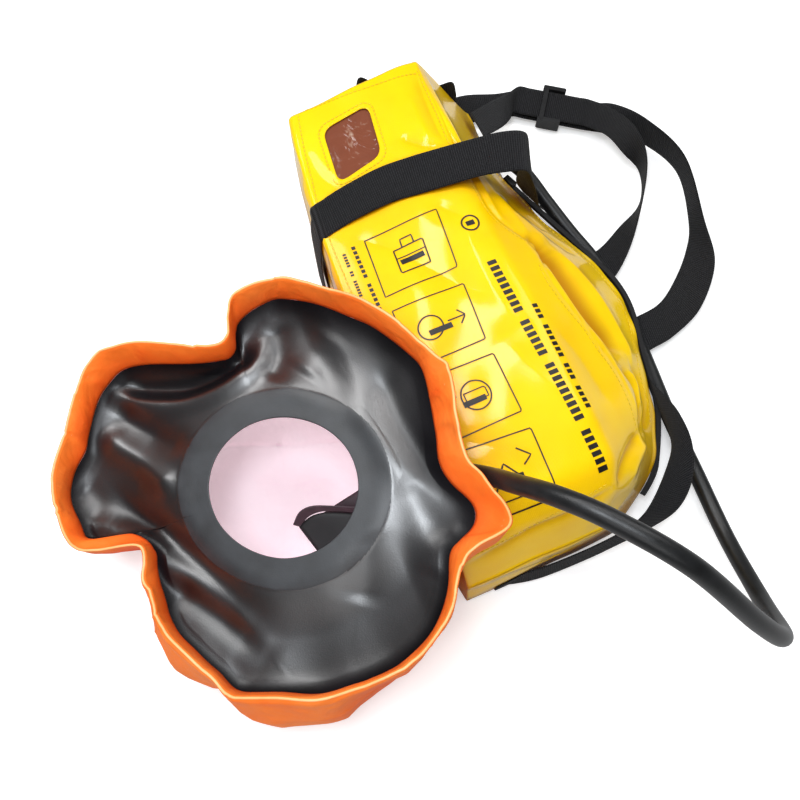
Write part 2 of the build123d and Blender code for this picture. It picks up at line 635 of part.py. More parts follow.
def hood_form(inset, bottom, rest_x, rest_height):
    """The hood as a filled form, stepped where it rests on the bag."""
    with BuildPart() as form:
        add(lobe_sketch(Plane((HOOD_X, HOOD_Y, bottom)), 0.8, inset, FLOOR_LIMIT - inset))
        add(lobe_sketch(Plane((HOOD_X, HOOD_Y, BELLY)), 0.97, inset, BELLY_LIMIT - inset))
        add(lobe_sketch(rim_plane.offset(-RIM_DROP - RIM_STRAIGHT), 1.0, inset))
        add(lobe_sketch(rim_plane, 1.0, inset))
        loft()
        with Locations((rest_x + 100, HOOD_Y, rest_height / 2)):
            Box(200, 600, rest_height, mode=Mode.SUBTRACT)
    return form.part


VALVE_OUT_X, VALVE_OUT_Z = -283.0, 62.0     # exhale valve in the far wall
SEAT_RADIUS = 14.0
NUT_FROM, NUT_TO, NUT_RADIUS = 72.0, 77.5, 18.0
NUT_RECESS = 20.0
INLET_Y, INLET_Z, INLET_RADIUS = -150.0, 134.0, 6.0

with BuildPart() as hood_wall:
    add(hood_form(0, 2.0, REST_X, REST_HEIGHT))
    add(hood_form(HOOD_WALL + 0.5, 2.0 + HOOD_WALL, REST_X - HOOD_WALL, REST_HEIGHT + HOOD_WALL),
        mode=Mode.SUBTRACT)
    add(ring_along(40, 90, SEAT_RADIUS + 0.3, x=VALVE_OUT_X, z=VALVE_OUT_Z), mode=Mode.SUBTRACT)
    add(ring_across(-110, -80, INLET_RADIUS + 0.3, y=INLET_Y, z=INLET_Z), mode=Mode.SUBTRACT)
    for leg in (1, 2, 3):
        add(room_for_hose(leg, leg + 1, HOSE_ROOM), mode=Mode.SUBTRACT)
    add(ring_along(NUT_FROM, NUT_FROM + NUT_RECESS, NUT_RADIUS + 0.5, x=VALVE_OUT_X, z=VALVE_OUT_Z),
        mode=Mode.SUBTRACT)

VISOR_EDGE, TAPE_BORDER = -322.0, 8.0


def visor_block(margin):
    """A block that marks the visor area of the outer wall."""
    with BuildPart() as block:
        with Locations((VISOR_EDGE - 50, -38, 50)):
            Box(100 + 2 * margin, 84 + 2 * margin, 52 + 2 * margin)
        fillet(block.edges().filter_by(Axis.X), radius=14 + margin)
    return block.part


with BuildPart() as hood_shell:
    add(hood_wall.part)
    add(visor_block(TAPE_BORDER), mode=Mode.SUBTRACT)
save(hood_shell.part, "hood_shell")
with BuildPart() as visor:
    add(hood_wall.part)
    add(visor_block(0), mode=Mode.INTERSECT)
save(visor.part, "visor")
with BuildPart() as visor_tape:
    add(hood_wall.part)
    add(visor_block(TAPE_BORDER), mode=Mode.INTERSECT)
    add(visor_block(0), mode=Mode.SUBTRACT)
save(visor_tape.part, "visor_tape")

COLLAR_GAP = HOOD_WALL + 3.0
COLLAR_THICK = 1.6
with BuildPart() as collar_outside:
    add(lobe_sketch(rim_plane.offset(-RIM_DROP), 1.0, RIM_INSET))
    add(lobe_sketch(rim_plane, 1.0, COLLAR_GAP))
    loft()
with BuildPart() as rim_collar:
    add(collar_outside.part)
    with BuildPart(mode=Mode.PRIVATE) as collar_inside:
        add(lobe_sketch(rim_plane.offset(-RIM_DROP), 1.0, RIM_INSET + COLLAR_THICK))
        add(lobe_sketch(rim_plane, 1.0, COLLAR_GAP + COLLAR_THICK))
        loft()
    add(collar_inside.part, mode=Mode.SUBTRACT)
save(rim_collar.part, "rim_collar")

with BuildPart() as neck_seal:
    with BuildSketch(rim_plane.offset(-RIM_DROP - SEAL_THICK)):
        with BuildLine():
            Spline(*lobes(1.0, RIM_INSET), periodic=True)
        make_face()
        Circle(NECK_RADIUS_OPEN, mode=Mode.SUBTRACT)
    extrude(amount=SEAL_THICK)
save(neck_seal.part, "neck_seal")
with BuildPart() as neck_ring:
    with BuildSketch(rim_plane.offset(-RIM_DROP)):
        Circle(RING_RADIUS)
        Circle(NECK_RADIUS_OPEN, mode=Mode.SUBTRACT)
    extrude(amount=1)
save(neck_ring.part, "neck_ring")

strap_upper_edge = [(-118, -140, 88), (-145, -136, 78), (-172, -134, 66), (-198, -138, 56)]
strap_lower_edge = [(-126, -178, 70), (-150, -172, 62), (-175, -166, 54), (-200, -160, 44)]
save(ribbon(strap_upper_edge, strap_lower_edge), "head_strap")

# ---------------------------------------------------------------- air inlet in the hood wall
at_inlet = dict(y=INLET_Y, z=INLET_Z)
FLANGE_FACE = REST_X - HOOD_WALL - 0.2
INLET_END, BARB_END = -88.2, -81.5
with BuildPart() as inlet_fitting:
    add(ring_across(FLANGE_FACE - 2.3, FLANGE_FACE, 12, **at_inlet))
    add(ring_across(FLANGE_FACE, INLET_END, INLET_RADIUS, **at_inlet))
    add(ring_across(INLET_END, BARB_END, BARB_RADIUS, **at_inlet))
    add(ring_across(FLANGE_FACE - 3, -77, 2, **at_inlet), mode=Mode.SUBTRACT)
save(inlet_fitting.part, "inlet_fitting")
save(ring_across(REST_X + 0.2, REST_X + 1.4, 8.5, INLET_RADIUS + RUN, **at_inlet), "inlet_washer")
save(hex_across(REST_X + 1.4, INLET_END, 15, INLET_RADIUS + RUN, **at_inlet), "inlet_nut")
with BuildPart() as diffuser:
    add(ring_across(FLANGE_FACE - 17, FLANGE_FACE - 2.3, 8, **at_inlet))
    add(ring_across(FLANGE_FACE - 15.5, FLANGE_FACE - 2.3, 6.5, **at_inlet), mode=Mode.SUBTRACT)
    with Locations((FLANGE_FACE - 9, INLET_Y, INLET_Z)):
        with GridLocations(4, 0, 3, 1):
            Cylinder(1.2, 30, mode=Mode.SUBTRACT)
save(diffuser.part, "diffuser")

# ---------------------------------------------------------------- exhale valve
at_exhale = dict(x=VALVE_OUT_X, z=VALVE_OUT_Z)
SEAT_FROM, SEAT_TO = 51.0, 75.0
with BuildPart() as exhale_seat:
    add(ring_along(SEAT_FROM, SEAT_FROM + 2, 18, 11.5, **at_exhale))
    add(ring_along(SEAT_FROM, SEAT_TO, SEAT_RADIUS, 11.5, **at_exhale))
    with Locations((VALVE_OUT_X, SEAT_TO - 1.5, VALVE_OUT_Z)):
        Box(24, 3, 2.4)
        Box(2.4, 3, 24)
    add(ring_along(SEAT_TO - 3, SEAT_TO, 3, **at_exhale))
    add(ring_along(SEAT_TO - 4, SEAT_TO + 1, 1.25 + RUN, **at_exhale), mode=Mode.SUBTRACT)
save(exhale_seat.part, "exhale_seat")
with BuildPart() as exhale_nut:
    add(ring_along(NUT_FROM, NUT_TO, NUT_RADIUS, SEAT_RADIUS + RUN, **at_exhale))
    with Locations((VALVE_OUT_X, (NUT_FROM + NUT_TO) / 2, VALVE_OUT_Z)):
        with Locations(Rotation(90, 0, 0)):
            with PolarLocations(18.6, 12):
                Cylinder(1.6, 8, mode=Mode.SUBTRACT)
save(exhale_nut.part, "exhale_nut")
with BuildPart() as exhale_flap:
    add(ring_along(SEAT_TO + 0.05, SEAT_TO + 0.85, 13, **at_exhale))
    add(ring_along(SEAT_TO - 5, SEAT_TO + 0.85, 1.25, **at_exhale))
save(exhale_flap.part, "exhale_flap")
with BuildPart() as exhale_cover:
    add(ring_along(NUT_TO, 83, 17.5, **at_exhale))
    add(ring_along(NUT_TO, 81.5, 15.5, **at_exhale), mode=Mode.SUBTRACT)
    with Locations((VALVE_OUT_X, 82, VALVE_OUT_Z)):
        with Locations(Rotation(90, 0, 0)):
            with PolarLocations(9, 6):
                Cylinder(2.6, 8, mode=Mode.SUBTRACT)
    fillet(exhale_cover.edges().filter_by(GeomType.CIRCLE).sort_by(Axis.Y)[-1], radius=0.6)
save(exhale_cover.part, "exhale_cover")
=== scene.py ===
from math import pi, radians, sin, cos

import bpy
import numpy as np
from mathutils import Vector, Matrix
from mathutils.bvhtree import BVHTree


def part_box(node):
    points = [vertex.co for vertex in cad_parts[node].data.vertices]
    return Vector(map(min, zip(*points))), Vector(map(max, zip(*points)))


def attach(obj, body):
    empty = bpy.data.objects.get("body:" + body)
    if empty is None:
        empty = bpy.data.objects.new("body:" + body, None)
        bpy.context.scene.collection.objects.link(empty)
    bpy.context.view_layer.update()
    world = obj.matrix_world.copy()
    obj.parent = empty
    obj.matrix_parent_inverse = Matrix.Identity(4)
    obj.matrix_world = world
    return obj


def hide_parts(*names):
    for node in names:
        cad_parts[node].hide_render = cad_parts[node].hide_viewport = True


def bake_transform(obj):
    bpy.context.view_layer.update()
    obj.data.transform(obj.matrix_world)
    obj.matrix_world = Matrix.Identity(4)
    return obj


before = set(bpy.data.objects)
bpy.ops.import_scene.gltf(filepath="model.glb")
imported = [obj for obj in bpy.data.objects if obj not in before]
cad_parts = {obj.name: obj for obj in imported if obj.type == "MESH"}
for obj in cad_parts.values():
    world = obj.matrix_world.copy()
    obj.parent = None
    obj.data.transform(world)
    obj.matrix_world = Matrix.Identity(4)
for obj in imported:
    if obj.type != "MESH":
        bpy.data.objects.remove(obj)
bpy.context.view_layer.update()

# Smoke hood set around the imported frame: the bag lies on the floor with its front up, the hood beside it
# with its neck seal up, and the hose runs between them. Lengths are in millimetres and scaled once.
MM = 0.001

# ------------------------------------------------------------------ small geometry kit


def ease(x):
    x = np.clip(x, 0, 1)
    return x * x * (3 - 2 * x)


def sweep_points(points, closed=False):
    """Points on a Catmull-Rom curve, the same number between each pair of guide points."""
    p = np.array(points, float)
    if closed:
        q = np.vstack([p[-1], p, p[0], p[1]])
    else:
        q = np.vstack([2 * p[0] - p[1], p, 2 * p[-1] - p[-2]])
    t = np.linspace(0, 1, 24, endpoint=False)[:, None]
    runs = [
        0.5 * (2 * b + (c - a) * t + (2 * a - 5 * b + 4 * c - d) * t**2 + (3 * b - a - 3 * c + d) * t**3)
        for a, b, c, d in zip(q[:-3], q[1:-2], q[2:-1], q[3:])
    ]
    return np.vstack(runs + [p[:1] if closed else p[-1:]])


def travel(p):
    """Distance run along a line of points."""
    return np.r_[0, np.cumsum(np.linalg.norm(np.diff(p, axis=0), axis=1))]


def at(run, p, s):
    return np.stack([np.interp(s, run, p[:, k]) for k in range(p.shape[1])], 1)


def curve(points, count, closed=False):
    """Evenly spaced points on a smooth curve."""
    p = sweep_points(points, closed=closed)
    run = travel(p)
    return at(run, p, np.linspace(0, run[-1], count, endpoint=not closed))


def unit(v):
    return v / np.maximum(np.linalg.norm(v, axis=-1, keepdims=True), 1e-9)


def nearest(points, line):
    """Distance, side and place along a line for many points, in the plan."""
    best = np.full(len(points), 1e9)
    side = np.zeros(len(points))
    place = np.zeros(len(points))
    for i, (a, b) in enumerate(zip(line[:-1], line[1:])):
        d = b - a
        t = np.clip(((points - a) @ d) / max(d @ d, 1e-9), 0, 1)
        gap = points - (a + t[:, None] * d)
        dist = np.hypot(gap[:, 0], gap[:, 1])
        hit = dist < best
        best = np.where(hit, dist, best)
        side = np.where(hit, np.sign(d[0] * gap[:, 1] - d[1] * gap[:, 0]), side)
        place = np.where(hit, (i + t) / (len(line) - 1), place)
    return best, side, place


def folds(x, y, lines, crisp=2.0):
    """Height of creases. A line is (points, height, width to its left, width to its right).

    crisp is 2 for rounded folds and nearer 1 for sharp ones.
    """
    flat = np.stack([x.ravel(), y.ravel()], 1)
    total = np.zeros(len(flat))
    for points, height, left, right in lines:
        dist, side, place = nearest(flat, curve(points, 26))
        width = np.where(side > 0, left, right)
        ends = ease(np.minimum(place, 1 - place) / 0.22)
        total += height * np.exp(-((dist / width) ** crisp)) * (0.12 + 0.88 * ends)
    return total.reshape(x.shape)


def ripples(x, y, seed, size, height):
    """Slow random waves."""
    rng = np.random.default_rng(seed)
    total = np.zeros_like(x)
    for _ in range(8):
        turn, phase = rng.uniform(0, 2 * pi, 2)
        k = 2 * pi / (size * rng.uniform(0.6, 1.7))
        total += np.sin(k * (x * cos(turn) + y * sin(turn)) + phase)
    return total * height / 3


def normals_of(p, wrap_u):
    """Outward normals of a grid of points (rows along v, columns along u)."""
    du = np.roll(p, -1, 1) - np.roll(p, 1, 1) if wrap_u else np.gradient(p, axis=1)
    dv = np.gradient(p, axis=0)
    return unit(np.cross(du, dv))


def grid_faces(rows, cols, wrap=False):
    """Quads of a grid of points, numbered row by row."""
    r, c = np.meshgrid(np.arange(rows - 1), np.arange(cols if wrap else cols - 1), indexing="ij")
    n = (c + 1) % cols
    quads = np.stack([r * cols + c, r * cols + n, (r + 1) * cols + n, (r + 1) * cols + c], -1)
    return quads.reshape(-1, 4)


def piece(name, points, faces, material, body, fab=None, painted_shade=None, ride=True):
    """A mesh object from millimetre points; fab is the cloth's own coordinates, the shade mark is painted
    shade per point for deep folds and shadowed places.
    """
    me = bpy.data.meshes.new(name)
    me.from_pydata((np.asarray(points, float) * MM).tolist(), [], [list(map(int, f)) for f in faces])
    me.validate()
    me.update()
    me.polygons.foreach_set("use_smooth", [True] * len(me.polygons))
    if fab is not None:
        layer = me.attributes.new("fab", "FLOAT_VECTOR", "POINT")
        layer.data.foreach_set("vector", np.asarray(fab, np.float32).ravel())
    if painted_shade is not None:
        mark = me.attributes.new("painted_shade", "FLOAT", "POINT")
        mark.data.foreach_set("value", np.asarray(painted_shade, np.float32).ravel())
    o = bpy.data.objects.new(name, me)
    bpy.context.scene.collection.objects.link(o)
    me.materials.append(material)
    if ride:
        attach(o, body)
    return o


def tree_of(o):
    """The object's surface, for finding the point below or nearest to another."""
    me = o.data
    co = np.empty(len(me.vertices) * 3)
    me.vertices.foreach_get("co", co)
    return BVHTree.FromPolygons(co.reshape(-1, 3).tolist(), [tuple(p.vertices) for p in me.polygons])


def drape(tree, xy, lift):
    """Drops plan points onto a surface and lifts them off it."""
    out, up = [], []
    for x, y in xy:
        hit, normal, _, _ = tree.ray_cast(Vector((x * MM, y * MM, 0.3)), Vector((0, 0, -1)))
        if hit is None:
            hit, normal, _, _ = tree.find_nearest(Vector((x * MM, y * MM, 0.1)))
        if normal.z < 0:
            normal = -normal
        out.append(np.array(hit) / MM + np.array(normal) * lift)
        up.append(np.array(normal))
    return np.array(out), np.array(up)


# ------------------------------------------------------------------ materials


class Mat:
    """A node material with short names for the nodes it uses."""

    def __init__(self, name):
        self.m = bpy.data.materials.new(name)
        self.m.use_nodes = True
        self.t = self.m.node_tree
        self.b = self.t.nodes["Principled BSDF"]

    def node(self, kind, *inputs, **props):
        n = self.t.nodes.new(kind)
        for k, v in props.items():
            setattr(n, k, v)
        for i, v in enumerate(inputs):
            self.feed(n.inputs[i], v)
        return n

    def feed(self, socket, value):
        if isinstance(value, bpy.types.NodeSocket):
            self.t.links.new(value, socket)
        elif value is not None:
            socket.default_value = value

    def set(self, **values):
        for k, v in values.items():
            self.feed(self.b.inputs[k.replace("_", " ")], v)
        return self

    def math(self, op, a, b=0.0):
        return self.node("ShaderNodeMath", a, b, operation=op).outputs[0]

    def place(self):
        return self.node("ShaderNodeTexCoord").outputs["Object"]

    def fab(self):
        return self.node("ShaderNodeAttribute", attribute_name="fab").outputs["Vector"]

    def noise(self, scale, detail=3.0, rough=0.5, twist=0.0):
        n = self.node("ShaderNodeTexNoise")
        self.feed(n.inputs["Vector"], self.place())
        settings = {"Scale": scale, "Detail": detail, "Roughness": rough, "Distortion": twist}
        for key, value in settings.items():
            n.inputs[key].default_value = value
        return n.outputs[0]

    def cells(self, scale, feature="F1"):
        n = self.node("ShaderNodeTexVoronoi", feature=feature)
        self.feed(n.inputs["Vector"], self.place())
        n.inputs["Scale"].default_value = scale
        return n.outputs["Distance"]

    def ramp(self, fac, *stops):
        n = self.node("ShaderNodeValToRGB", fac)
        e = n.color_ramp.elements
        while len(e) < len(stops):
            e.new(0.5)
        for i, (pos, colour) in enumerate(stops):
            e[i].position = pos
            e[i].color = (*colour, 1)
        return n.outputs[0]

    def span(self, fac, low, high):
        n = self.node("ShaderNodeMapRange", fac)
        n.inputs["To Min"].default_value = low
        n.inputs["To Max"].default_value = high
        return n.outputs[0]

    def occlusion_shade(self, reach, low=0.0):
        """Painted shade from ambient occlusion: 1 in the open, falling to low inside creases narrower than
        the reach in metres.
        """
        n = self.node("ShaderNodeAmbientOcclusion", samples=6)
        n.inputs["Distance"].default_value = reach
        open_ = self.node("ShaderNodeMapRange", n.outputs["AO"])
        open_.inputs["From Min"].default_value = 0.35
        open_.inputs["From Max"].default_value = 0.95
        open_.inputs["To Min"].default_value = low
        return open_.outputs[0]

    def fold_shade(self, reach, low=0.0):
        """Painted shade factor: open cloth 1, falling in narrow creases and where the mesh's painted-shade
        mark is set.
        """
        marked = self.node("ShaderNodeAttribute", attribute_name="painted_shade").outputs["Fac"]
        return self.math("MULTIPLY", self.occlusion_shade(reach, low), self.math("SUBTRACT", 1.0, marked))

    def blend(self, fac, a, b):
        n = self.node("ShaderNodeMix", data_type="RGBA")
        for key, value in zip((0, 6, 7), (fac, a, b)):
            self.feed(n.inputs[key], value)
        return n.outputs[2]

    def wave(self, axis, pitch):
        """Sine of the cloth's own coordinate along an axis; pitch in millimetres."""
        parts = self.node("ShaderNodeSeparateXYZ", self.fab())
        return self.math("SINE", self.math("MULTIPLY", parts.outputs[axis], 2 * pi / pitch))

    def bump(self, *layers):
        """Chained bumps, each (height socket, distance in metres, strength)."""
        normal = None
        for height, distance, strength in layers:
            n = self.node("ShaderNodeBump")
            n.inputs["Strength"].default_value = strength
            n.inputs["Distance"].default_value = distance
            self.feed(n.inputs["Height"], height)
            if normal:
                self.feed(n.inputs["Normal"], normal)
            normal = n.outputs[0]
        self.feed(self.b.inputs["Normal"], normal)
        return self


def shade(rgb):
    """Linear colour from an 8-bit screen colour."""
    return tuple(((v / 255 + 0.055) / 1.055) ** 2.4 if v > 10 else v / 255 / 12.92 for v in rgb)


def pvc(name, mid, low, high, crease_shade_colour):
    """Coated bag cloth: plasticised, with the base weave showing through and soft dents; creases get a
    painted shade colour and lose their coat as painted shade.
    """
    m = Mat(name)
    tone = m.noise(9, 4, 0.6)
    colour = m.ramp(tone, (0.3, shade(low)), (0.5, shade(mid)), (0.72, shade(high)))
    colour = m.blend(m.fold_shade(0.035), (*shade(crease_shade_colour), 1), colour)
    weave = m.math("MULTIPLY", m.wave(0, 1.5), m.wave(1, 1.5))
    m.set(Base_Color=colour, Roughness=m.span(m.noise(40, 5), 0.26, 0.4), Coat_Weight=m.occlusion_shade(0.03),
          Coat_Roughness=0.11, Coat_IOR=1.34, Specular_IOR_Level=0.1)
    return m.bump((m.noise(7, 2, 0.5, twist=0.4), 0.010, 0.55), (m.noise(42, 3), 0.0012, 0.4),
                  (weave, 0.00012, 0.5)).m


def rubber(name, dark, light, low, high, sheen=0.2, scale=60, gloss=0.6, ior=1.5):
    """Rubber sheet or tube: near black, with its gloss painted down as shade inside creases and where the
    mesh's painted-shade mark is set.
    """
    m = Mat(name)
    m.set(Base_Color=m.ramp(m.noise(scale, 5), (0.3, shade(dark)), (0.7, shade(light))), Sheen_Weight=sheen,
          Roughness=m.span(m.noise(scale * 0.5, 4), low, high),
          Specular_IOR_Level=m.math("MULTIPLY", m.fold_shade(0.04, 0.08), gloss), IOR=ior)
    return m.bump((m.noise(900, 2), 0.0002, 0.4), (m.noise(scale, 3), 0.0004, 0.2)).m


def metal(name, dark, light, low, high):
    """Turned or cast metal with a slightly uneven finish."""
    m = Mat(name)
    m.set(Base_Color=m.ramp(m.noise(120, 5), (0.3, shade(dark)), (0.7, shade(light))), Metallic=1.0,
          Roughness=m.span(m.noise(260, 6), low, high))
    return m.bump((m.noise(1400, 2), 0.00008, 0.4), (m.cells(300), 0.0001, 0.15)).m


def plastic(name, dark, light, low=0.32, high=0.5):
    """Moulded plastic, paint or ink with a fine grain."""
    m = Mat(name)
    m.set(Base_Color=m.ramp(m.noise(90, 4), (0.3, shade(dark)), (0.7, shade(light))),
          Roughness=m.span(m.noise(200, 5), low, high))
    return m.bump((m.cells(1600), 0.00012, 0.35), (m.noise(150, 3), 0.0003, 0.15)).m


def webbing(name, dark, light):
    """Woven strap: cross ribs, lengthwise yarns and a fine fuzz."""
    m = Mat(name)
    rib = m.wave(0, 2.1)
    yarn = m.wave(1, 1.9)
    fleck = m.noise(700, 3)
    yarn_tone = m.math("ADD", m.math("MULTIPLY", fleck, 0.7), 0.1)
    tone = m.math("ADD", m.math("MULTIPLY", rib, 0.24), yarn_tone)
    m.set(Base_Color=m.ramp(tone, (0.15, shade(dark)), (0.8, shade(light))),
          Roughness=m.span(fleck, 0.55, 0.8),
          Sheen_Weight=0.04, Sheen_Roughness=0.4, Specular_IOR_Level=0.3)
    return m.bump((rib, 0.0005, 0.75), (yarn, 0.00025, 0.45), (fleck, 0.0002, 0.4)).m


def nylon(name, low, mid, high, crease_shade_colour, painted_glow=0.0):
    """Thin coated hood cloth: plain weave, soft crumples, a faint sheen; creases get a painted shade
    colour, and an optional emission paints a glow that stands in for light on and through the cloth.
    """
    m = Mat(name)
    colour = m.ramp(m.noise(14, 4, 0.6), (0.3, shade(low)), (0.5, shade(mid)), (0.75, shade(high)))
    colour = m.blend(m.fold_shade(0.03), (*shade(crease_shade_colour), 1), colour)
    weave = m.math("MULTIPLY", m.wave(0, 0.9), m.wave(1, 0.9))
    m.set(Base_Color=colour, Roughness=m.span(m.noise(60, 4), 0.42, 0.58), Specular_IOR_Level=0.14)
    if painted_glow:
        m.set(Emission_Color=(*shade(mid), 1), Emission_Strength=painted_glow)
    return m.bump((m.noise(22, 3, 0.55, twist=0.8), 0.005, 0.8), (m.cells(34), 0.003, 0.75),
                  (m.noise(90, 3), 0.0006, 0.4), (weave, 0.0001, 0.5)).m


# the last colour of each cloth below is its painted shade colour for creases
yellow = pvc("bag_pvc", (252, 204, 0), (246, 192, 0), (254, 212, 0), (176, 106, 0))
# the hood cloth and hem glow faintly as painted light through the cloth
orange = nylon("hood_cloth_orange", (255, 112, 34), (255, 126, 44), (255, 142, 62), (214, 44, 4), painted_glow=0.10)
hem_highlight_cloth = nylon("hood_hem_painted_highlight", (255, 168, 96), (255, 186, 122), (255, 204, 150), (255, 150, 76),
                  painted_glow=0.10)
# the lining glows as painted light, brightening the inside seen through the neck hole
lining = nylon("hood_lining", (244, 218, 226), (250, 232, 238), (254, 240, 245), (236, 196, 210), painted_glow=0.31)
seal_rubber = rubber("seal_sheet", (9, 8, 11), (19, 18, 22), 0.34, 0.42, 0.0, 30, 0.75, 2.0)
ring_rubber = rubber("ring_sheet", (30, 33, 37), (44, 48, 53), 0.46, 0.56, 0.1, 50, 0.6, 1.7)
hose_skin = rubber("hose_skin", (9, 10, 11), (22, 23, 25), 0.34, 0.46, 0.05, 80)
o_ring = rubber("small_rubber", (14, 14, 15), (30, 30, 31), 0.4, 0.55)
web = webbing("black_web", (4, 4, 5), (40, 40, 43))
# lit and shaded copies of the head strap: painted light on its upper faces, painted shade beneath the fold
strap_lit = rubber("head_strap_lit", (46, 26, 34), (70, 44, 54), 0.5, 0.65, 0.2, 60)
strap_shaded = rubber("head_strap_under_shaded", (8, 7, 8), (20, 17, 19), 0.5, 0.65, 0.1, 60)
black = plastic("black_moulding", (12, 12, 13), (32, 32, 34))
knob = plastic("knob_moulding", (16, 70, 38), (30, 104, 58), 0.3, 0.45)
brass = metal("brass_turned", (150, 112, 50), (204, 166, 92), 0.2, 0.38)
steel = metal("steel_turned", (150, 152, 156), (205, 207, 210), 0.18, 0.34)
bottle = plastic("cylinder_paint", (16, 16, 18), (34, 34, 38), 0.22, 0.36)
silicone = plastic("silicone", (196, 200, 196), (226, 228, 224), 0.35, 0.5)
red = plastic("needle_paint", (170, 16, 12), (214, 34, 26), 0.3, 0.4)
ink = plastic("print_ink", (14, 13, 12), (34, 32, 28), 0.35, 0.5)
thread = plastic("thread_yellow", (214, 178, 0), (244, 212, 40), 0.5, 0.7)
thread_orange = plastic("thread_orange", (236, 120, 60), (255, 170, 110), 0.5, 0.7)
zip_tape = webbing("zip_tape", (8, 8, 9), (38, 38, 40))


def film(name, tint, clear, painted_glint):
    """Flexible clear film: part see-through, with a hazy tint and painted glints, lighter patches in its
    colour that stand in for crumpled highlights.
    """
    m = Mat(name)
    haze = m.noise(34, 4, 0.6, twist=1.2)
    m.set(Base_Color=m.ramp(haze, (0.3, shade(tint)), (0.62, shade(tint)), (0.8, shade(painted_glint))),
          Roughness=m.span(m.noise(50, 3), 0.06, 0.2), Coat_Weight=0.9, Coat_Roughness=0.05,
          Alpha=m.span(haze, clear, clear + 0.35))
    m.m.blend_method = "BLEND"
    return m.bump((m.noise(26, 3, 0.5, twist=1.0), 0.006, 0.6),
                  (m.cells(40, feature="SMOOTH_F1"), 0.002, 0.4)).m


window_clear = film("window_film", (128, 72, 52), 0.74, (196, 170, 150))
visor_clear = film("visor_film", (214, 222, 226), 0.25, (240, 244, 246))


def glass(name):
    """Clear hard lens."""
    m = Mat(name)
    m.set(Base_Color=(0.92, 0.95, 0.95, 1), Roughness=0.04, Alpha=0.22, Coat_Weight=1.0)
    return m.bump((m.noise(60, 2), 0.0003, 0.1)).m


def dial_print(name, node, inner, outer):
    """White face with dark tick marks between two radii round the middle of a node, in metres."""
    m = Mat(name)
    lo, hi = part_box(node)
    off = m.node("ShaderNodeVectorMath", m.place(), tuple((lo + hi) / 2), operation="SUBTRACT").outputs[0]
    x, y, _ = m.node("ShaderNodeSeparateXYZ", off).outputs
    reach = m.math("SQRT", m.math("ADD", m.math("POWER", x, 2.0), m.math("POWER", y, 2.0)))
    teeth = m.math("GREATER_THAN", m.math("SINE", m.math("MULTIPLY", m.math("ARCTAN2", y, x), 40.0)), 0.72)
    band = m.math("MULTIPLY", m.math("GREATER_THAN", reach, inner), m.math("LESS_THAN", reach, outer))
    ticks = m.math("MULTIPLY", teeth, band)
    m.set(Base_Color=m.ramp(ticks, (0.0, shade((240, 240, 232))), (1.0, shade((20, 20, 22)))),
          Roughness=m.span(m.noise(300), 0.35, 0.5))
    return m.bump((ticks, 0.0001, 0.3)).m


lens = glass("lens_glass")
dial = dial_print("dial_print", "gauge_dial", 0.0118, 0.0145)

# ------------------------------------------------------------------ the bag

# sections along the bag: y, left wall, fold, sewn edge, front height, fold height
STATIONS = np.array([
    (-238, -84, 52, 64, 58, 50), (-216, -87, 86, 106, 102, 62), (-190, -89, 106, 134, 122, 68),
    (-150, -90, 122, 157, 126, 76), (-92, -90, 121, 175, 126, 83), (-36, -90, 117, 189, 126, 88),
    (9, -90, 111, 183, 126, 92), (73, -85, 94, 159, 126, 104), (146, -77, 78, 138, 126, 118),
    (238, -63, 80, 142, 125, 120),
], float)
BAG_ROWS = 340
BAG_END = 238
rows_y = np.linspace(-BAG_END, BAG_END, BAG_ROWS)


def soften(values, width):
    """Running average of a line of values that keeps its end values."""
    kernel = np.hanning(width + 2)[1:-1]
    padded = np.r_[2 * values[0] - values[1:width][::-1], values, 2 * values[-1] - values[-width:-1][::-1]]
    out = np.convolve(padded, kernel / kernel.sum(), "same")
    return out[width - 1:width - 1 + len(values)]


left, fold, edge, top, fold_top = (
    soften(np.interp(rows_y, STATIONS[:, 0], STATIONS[:, k]), 19) for k in range(1, 6)
)
shoulder = np.minimum(60, fold - 24)
corners = np.stack([
    np.stack([left, np.full(BAG_ROWS, 1.0)], 1), np.stack([left, top], 1), np.stack([shoulder, top], 1),
    np.stack([fold, fold_top], 1), np.stack([edge, np.full(BAG_ROWS, 25.0)], 1),
    np.stack([edge, np.full(BAG_ROWS, 22.0)], 1), np.stack([edge - 40, np.full(BAG_ROWS, 1.0)], 1),
], 1)


def rounded(points, cuts, counts, arc=8):
    """Closed outlines with corners rounded by cuts and counts points on each side, one row per outline."""
    parts, n = [], len(cuts)
    t = np.linspace(0, 1, arc)[None, :, None]
    for i in range(n):
        a, b, c = points[:, i - 1], points[:, i], points[:, (i + 1) % n]
        p, q = b + unit(a - b) * cuts[i], b + unit(c - b) * cuts[i]
        parts.append((1 - t) ** 2 * p[:, None] + 2 * t * (1 - t) * b[:, None] + t**2 * q[:, None])
        end = c + unit(b - c) * cuts[(i + 1) % n]
        s = np.linspace(0, 1, counts[i] + 2)[1:-1][None, :, None]
        parts.append(q[:, None] + (end - q)[:, None] * s)
    return np.concatenate(parts, 1)


profile = rounded(corners, [5, 6, 10, 3, 1.4, 1.2, 8], [30, 96, 18, 88, 0, 16, 44])
cols = profile.shape[1]
bag = np.stack([profile[..., 0], np.broadcast_to(rows_y[:, None], profile.shape[:2]), profile[..., 1]], -1)
SEAM = [(82, 240), (79, 200), (76, 168), (74, 152), (73, 120), (74, 95), (75, 62), (86, 43), (99, 30),
        (104, 16), (99, 2), (97, -20), (102, -46), (109, -69), (112, -90), (117, -108), (119, -125),
        (118, -145), (115, -171)]
